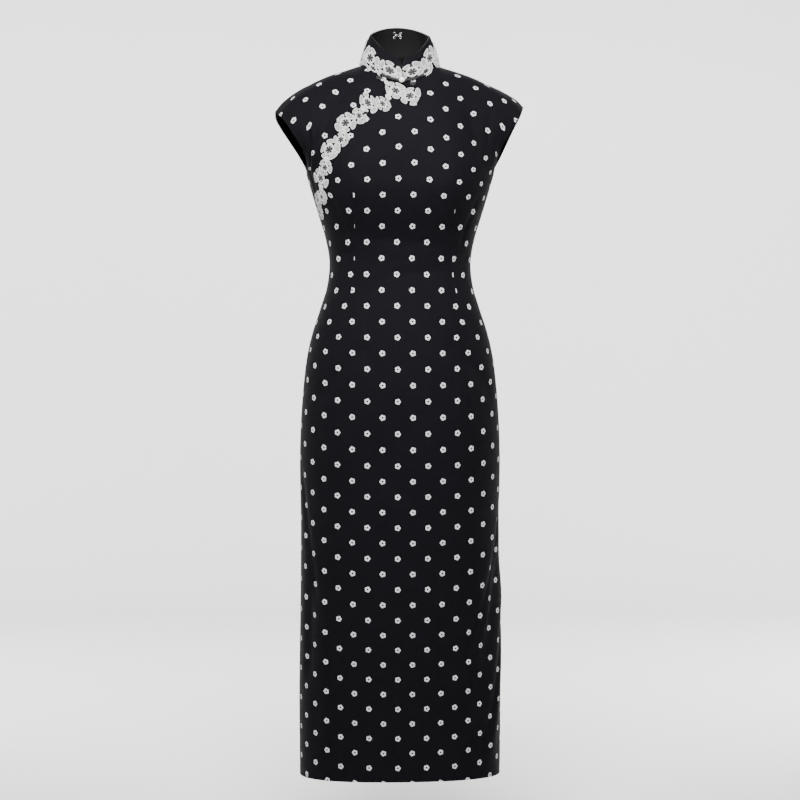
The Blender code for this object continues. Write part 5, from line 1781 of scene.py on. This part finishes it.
class CHEONGSAM_OT_back(bpy.types.Operator):
    """Cut and fold the two halves of the back, which meet at the zip"""

    bl_idname = "cheongsam.back"
    bl_label = "Back"

    def execute(self, context):
        levels = np.concatenate(
            [SKIRT_ROWS, np.linspace(-0.300, UNDERARM_Z, 24)[1:], upper_levels(36)]
        )
        for hand, word in ((RIGHT, "right"), (LEFT, "left")):
            columns = np.sort(hand * np.linspace(0, 1, 56))
            across, level = np.meshgrid(columns, levels)

            def open_middle(points, across=across, hand=hand):
                at_middle = np.abs(across) < 1e-9
                points[..., 0] = np.where(at_middle, hand * SEAM_LINE / 2, points[..., 0])
                return points

            name = "back_%s_cloth" % word
            made = panel(name, BACK, across, level, ("printed", "reverse"), open_middle)
            dress(made, "sateen", "back_" + word)
        return {"FINISHED"}


class CHEONGSAM_OT_facings(bpy.types.Operator):
    """Turn the lining strips in behind the armhole edges"""

    bl_idname = "cheongsam.facings"
    bl_label = "Armhole facings"

    def execute(self, context):
        cloth = context.scene.cheongsam_cloth
        for side, place in ((FRONT, "front"), (BACK, "back")):
            for hand, word in ((RIGHT, "right"), (LEFT, "left")):
                across, level = armhole_strip(hand)
                inset = cloth.thickness + SEAM_GAP
                layers = [
                    part_seams(side, across, level, off_cloth(side, across, level, -out))
                    for out in (inset, inset + cloth.lining_thickness)
                ]
                run, rise = flat(side, across, level)
                fields = {"flat": np.stack([run, rise, 0 * run], -1).reshape(-1, 3)}
                name = "armhole_lining_%s_%s" % (place, word)
                made = cloth_shell(name, *layers, [finishes()["lining"]], fields, flip=side == BACK)
                dress(made, "lining", "armhole_facing_%s_%s" % (place, word))
        return {"FINISHED"}


class CHEONGSAM_OT_collar(bpy.types.Operator):
    """Shape the two halves of the stand collar and their lining"""

    bl_idname = "cheongsam.collar"
    bl_label = "Collar"

    def execute(self, context):
        cloth = context.scene.cheongsam_cloth
        inset = COLLAR_CLOTH + SEAM_GAP
        for hand, word in ((RIGHT, "right"), (LEFT, "left")):
            made = collar_shell(
                "collar_%s_cloth" % word, hand, 0.0, COLLAR_CLOTH, -0.02, 1.0, finishes()["plain"]
            )
            dress(made, "sateen", "collar_" + word)
            name = "collar_%s_lining" % word
            thick = cloth.lining_thickness
            made = collar_shell(name, hand, inset, thick, 0.03, 0.985, finishes()["lining"])
            dress(made, "lining", "collar_lining_" + word)
            share = np.linspace(0, 1, 90)
            edge = off_collar(hand, share, 0.992, -COLLAR_CLOTH - SEAM_GAP / 2)
            start = off_collar(hand, 0.0, np.linspace(NOTCH_FROM, 0.985, 24), -COLLAR_CLOTH - SEAM_GAP / 2)
            start[:, 0] += hand * 0.2 * MM
            path = np.concatenate([start, edge])
            finish = finishes()["piping"]
            piping = tubes("collar_piping_" + word, [path], PIPING_RADIUS, finish, 8)
            dress(piping, "cord")
        return {"FINISHED"}


class CHEONGSAM_OT_lace(bpy.types.Operator):
    """Sew the flower lace on the slanted opening and round the collar"""

    bl_idname = "cheongsam.lace"
    bl_label = "Flower lace"

    def execute(self, context):
        strip = lace_strip("slanted_lace", SLANT_FLOWERS, slant_surface, LACE_CLEAR)
        dress(strip, "lace", "lace_slant")
        for hand, word in ((RIGHT, "right"), (LEFT, "left")):
            flowers = [
                (run, height, size, turn) for run, height, size, turn in COLLAR_FLOWERS[hand]
            ]
            made = lace_strip("collar_lace_" + word, flowers, collar_surface(hand), LACE_CLEAR, hand < 0)
            dress(made, "lace", "lace_collar_" + word)
        return {"FINISHED"}


class CHEONGSAM_OT_closing(bpy.types.Operator):
    """Lay the twisted closing cord, tie its two knots and set the pearl button"""

    bl_idname = "cheongsam.closing"
    bl_label = "Cord, knots and button"

    def execute(self, context):
        trim = context.scene.cheongsam_trim
        radius = trim.cord_radius
        for hand, word in ((RIGHT, "right"), (LEFT, "left")):
            lay = plies(neck_cord_path(hand), 2, radius * 0.92, 7.5 * MM * hand)
            cord = tubes("twisted_cord_" + word, lay, radius, finishes()["cord"], 10)
            dress(cord, "cord", "neck_cord_" + word)
            knot = KNOTS[hand]
            place = place_on_body(FRONT, knot["across"], knot["level"], knot["clear"])
            loops = on_place(place, rosette_path(KNOT_RADIUS * 0.86, 5, KNOT_THICKNESS * 0.8))
            heart = on_place(place, rosette_path(KNOT_RADIUS * 0.36, 3, KNOT_THICKNESS * 1.25))
            knotted = tubes("rosette_knot_" + word, [loops, heart], 0.85 * MM, finishes()["cord"], 8)
            dress(knotted, "cord", "frog_knot_" + word)
        across = NECK_ACROSS * math.asin(PEARL_X / NECK_HALF_WIDTH) / (math.pi / 2)
        place = place_on_body(FRONT, across, CORD_LEVEL - 1.6 * MM, PEARL_RADIUS * 0.92 + 0.7 * MM)
        turns = np.linspace(0, math.tau, 49)[:-1]
        climbs = np.linspace(-math.pi / 2, math.pi / 2, 26)[1:-1]
        ring = np.stack(
            [
                np.cos(climbs)[:, None] * np.cos(turns),
                np.cos(climbs)[:, None] * np.sin(turns),
                np.sin(climbs)[:, None] * np.ones_like(turns) * 0.9,
            ],
            -1,
        )
        ball = np.concatenate([ring.reshape(-1, 3), [(0, 0, -0.9), (0, 0, 0.9)]])
        points = on_place(place, ball * PEARL_RADIUS)
        faces = quads(len(climbs), 48, closed=True).tolist()
        low, high, top = len(points) - 2, len(points) - 1, (len(climbs) - 1) * 48
        faces += [[low, (i + 1) % 48, i] for i in range(48)]
        faces += [[high, top + i, top + (i + 1) % 48] for i in range(48)]
        pearl = mesh_piece("pearl_bead", points, faces, [finishes()["pearl"]])
        dress(pearl, "pearl", "pearl_button")
        return {"FINISHED"}


class CHEONGSAM_OT_fittings(bpy.types.Operator):
    """Sew in the hook and eye, and plate the zip's slider and pull tab"""

    bl_idname = "cheongsam.fittings"
    bl_label = "Hook, eye and zip"

    def execute(self, context):
        for made, node in zip(hook_and_eye(), ("collar_hook", "collar_eye")):
            dress(made, "metal", node)
        for node in ("zip_slider", "zip_pull_tab"):
            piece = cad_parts[node]
            for slot in piece.material_slots:
                slot.material = finishes()["metal"]
        return {"FINISHED"}


class CHEONGSAM_OT_inside(bpy.types.Operator):
    """Finish the inside: zip tapes and coil, neck tape, pressed seams, overlocking and hem"""

    bl_idname = "cheongsam.inside"
    bl_label = "Inside work"

    def execute(self, context):
        cloth = context.scene.cheongsam_cloth
        under = cloth.thickness + 0.35 * MM
        tape, thread = finishes()["lining"], finishes()["cord"]
        side_rows = np.linspace(HEM_Z + cloth.hem_turning + 4 * MM, UNDERARM_Z - 4 * MM, 150)
        back_rows = np.linspace(HEM_Z + 1.5 * MM, ZIP_END - 1 * MM, 150)
        zip_rows = np.linspace(ZIP_END, TOP_LEVEL - 12 * MM, 90)
        for hand, word in ((RIGHT, "right"), (LEFT, "left")):
            across, level = np.meshgrid(hand * np.linspace(0.0, ZIP_TAPE, 5)[::hand], zip_rows)
            tapes = inside_strip("zip_tape_" + word, BACK, across + hand * BESIDE_MIDDLE, level, under, tape)
            dress(tapes, "lining")
            across, level = np.meshgrid(hand * np.linspace(0.0, ALLOWANCE, 5)[::hand], back_rows)
            deep = under + cloth.thickness * ease((HEM_Z + cloth.hem_turning + 6 * MM - level) / (5 * MM))
            pressed = inside_strip(
                "back_seam_" + word, BACK, across + hand * BESIDE_MIDDLE, level, deep, finishes()["reverse"]
            )
            dress(pressed, "sateen")
            dress(neck_tape("neck_tape_" + word, hand, tape), "lining")
            lines, outs = [], []
            for side, place in ((FRONT, "front"), (BACK, "back")):
                columns = hand * np.linspace(1 - ALLOWANCE, 1, 5)[::hand]
                across, level = np.meshgrid(columns, side_rows)
                strip = inside_strip(
                    "side_seam_%s_%s" % (place, word), side, across, level, under, finishes()["reverse"]
                )
                dress(strip, "sateen")
                edge = hand * (1 - ALLOWANCE)
                lines.append(off_cloth(side, edge, side_rows, -under - TAPE))
                outs.append(-body_normal(side, edge, side_rows))
            item = overlock_item("overlock_stitch", 3.6 * MM, thread)
            dress(stitched_line("overlock_" + word, item, 2.6 * MM, lines, outs, thread), "sateen")
        level = np.linspace(ZIP_END + 6 * MM, TOP_LEVEL - 12 * MM, 160)
        middle = off_cloth(BACK, 0.0, level, -under - TAPE - 0.4 * MM)
        outs = -body_normal(BACK, np.zeros_like(level), level)
        loop = np.array([(-0.3, -2.4, 0), (-0.2, -0.9, 0.6), (0.2, 0.9, 0.6), (0.3, 2.4, 0)]) * MM
        item = tubes("coil_loop", [loop], 0.42 * MM, finishes()["cord"], 6)
        dress(stitched_line("zip_coil", item, 1.5 * MM, [middle], [outs], thread), "sateen")
        lines, outs = [], []
        for side in (FRONT, BACK):
            across = np.linspace(-0.98, 0.98, 160)
            top = np.full_like(across, HEM_Z + cloth.hem_turning - 1.2 * MM)
            lines.append(off_cloth(side, across, top, -1.70 * cloth.thickness))
            outs.append(-body_normal(side, across, top))
        item = stitch_item("hem_stitch", 3.2 * MM, 0.45 * MM, 0.35 * MM, thread)
        dress(stitched_line("hem_stitches", item, 7.0 * MM, lines, outs, thread), "sateen")
        return {"FINISHED"}


class CHEONGSAM_OT_sheets(bpy.types.Operator):
    """Pass every sheet of cloth, what it hangs from and the pieces sewn on it to hang, which does nothing
    with them
    """

    bl_idname = "cheongsam.sheets"
    bl_label = "Cut sizes"

    def execute(self, context):
        for name, (rests_on, extras) in WORN.items():
            hang(bpy.data.objects[name], rests_on, [bpy.data.objects[extra] for extra in extras])
        return {"FINISHED"}


# The soft boxes: place, what each points at, its size, and its watts.
SOFT_BOXES = {
    "front_box": ((-0.2, -1.9, 1.15), (0, 0, -0.30), (1.0, 1.1), 36),
    "left_box": ((3.2, -2.2, 0.4), (0, 0, -0.6), (1.4, 3.0), 0.5),
    "right_box": ((-3.2, -1.8, 0.2), (0, 0, -0.6), (1.4, 3.0), 0.8),
    "back_box": ((0.0, 3.0, 2.6), (0, 0, -0.4), (3.0, 2.0), 20),
    "wall_box_0": ((-3.2, 1.6, 0.4), (-0.4, 6.0, -0.5), (2.4, 3.6), 470),
    "wall_box_1": ((3.2, 1.6, 0.4), (0.4, 6.0, -0.5), (2.4, 3.6), 470),
}
GRID_ANGLE = 70  # degrees over which the front box spreads
ROOM_LIGHT = 0.09
CAMERA_SENSOR, CAMERA_LENS = 36.0, 95.3  # millimetres


class CHEONGSAM_OT_stage(bpy.types.Operator):
    """Set the pale floor, the soft boxes and the camera"""

    bl_idname = "cheongsam.stage"
    bl_label = "Stage"

    def execute(self, context):
        stage = context.scene.cheongsam_stage
        floor = studio_floor("studio_floor", studio_finish("studio_floor", (0.90, 0.90, 0.90)))
        world = bpy.data.worlds.new("studio")
        world.use_nodes = True
        world.node_tree.nodes["Background"].inputs[0].default_value = (1, 1, 1, 1)
        world.node_tree.nodes["Background"].inputs[1].default_value = ROOM_LIGHT
        context.scene.world = world
        for name, (place, target, size, watts) in SOFT_BOXES.items():
            box = soft_box(name, place, target, size, watts * stage.light)
            box.visible_camera = False
        # A honeycomb grid keeps the front box on the bodice.
        bpy.data.objects["front_box"].data.spread = math.radians(GRID_ANGLE)
        lens = bpy.data.cameras.new("camera")
        lens.sensor_width, lens.lens = CAMERA_SENSOR, CAMERA_LENS
        camera = link(bpy.data.objects.new("camera", lens))
        camera.location = (
            -stage.distance * math.sin(stage.turn),
            -stage.distance * math.cos(stage.turn),
            stage.height,
        )
        camera.rotation_euler = (math.pi / 2, 0, -stage.turn)
        context.scene.camera = camera
        return {"FINISHED"}


OPERATORS = (
    CHEONGSAM_OT_front,
    CHEONGSAM_OT_back,
    CHEONGSAM_OT_facings,
    CHEONGSAM_OT_collar,
    CHEONGSAM_OT_lace,
    CHEONGSAM_OT_closing,
    CHEONGSAM_OT_fittings,
    CHEONGSAM_OT_inside,
    CHEONGSAM_OT_sheets,
    CHEONGSAM_OT_stage,
)
SETTINGS = (CheongsamCloth, CheongsamTrim, CheongsamStage)


class CHEONGSAM_PT_panel(bpy.types.Panel):
    """The steps that make the dress, in order, and what they read"""

    bl_label = "Cheongsam"
    bl_idname = "CHEONGSAM_PT_panel"
    bl_space_type = "VIEW_3D"
    bl_region_type = "UI"
    bl_category = "Cheongsam"

    def draw(self, context):
        for each in OPERATORS:
            self.layout.operator(each.bl_idname)
        for settings in SETTINGS:
            box = self.layout.box()
            held = getattr(context.scene, settings_name(settings))
            for name in settings.__annotations__:
                box.prop(held, name)


def settings_name(settings):
    return "cheongsam_" + settings.__name__.removeprefix("Cheongsam").lower()


def register():
    for each in (*SETTINGS, *OPERATORS, CHEONGSAM_PT_panel):
        bpy.utils.register_class(each)
    for settings in SETTINGS:
        pointer = bpy.props.PointerProperty(type=settings)
        setattr(bpy.types.Scene, settings_name(settings), pointer)


def unregister():
    for settings in SETTINGS:
        delattr(bpy.types.Scene, settings_name(settings))
    for each in reversed((*SETTINGS, *OPERATORS, CHEONGSAM_PT_panel)):
        bpy.utils.unregister_class(each)


def main():
    register()
    for each in OPERATORS:
        group, step = each.bl_idname.split(".")
        getattr(getattr(bpy.ops, group), step)()
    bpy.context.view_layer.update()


if __name__ == "__main__":
    main()
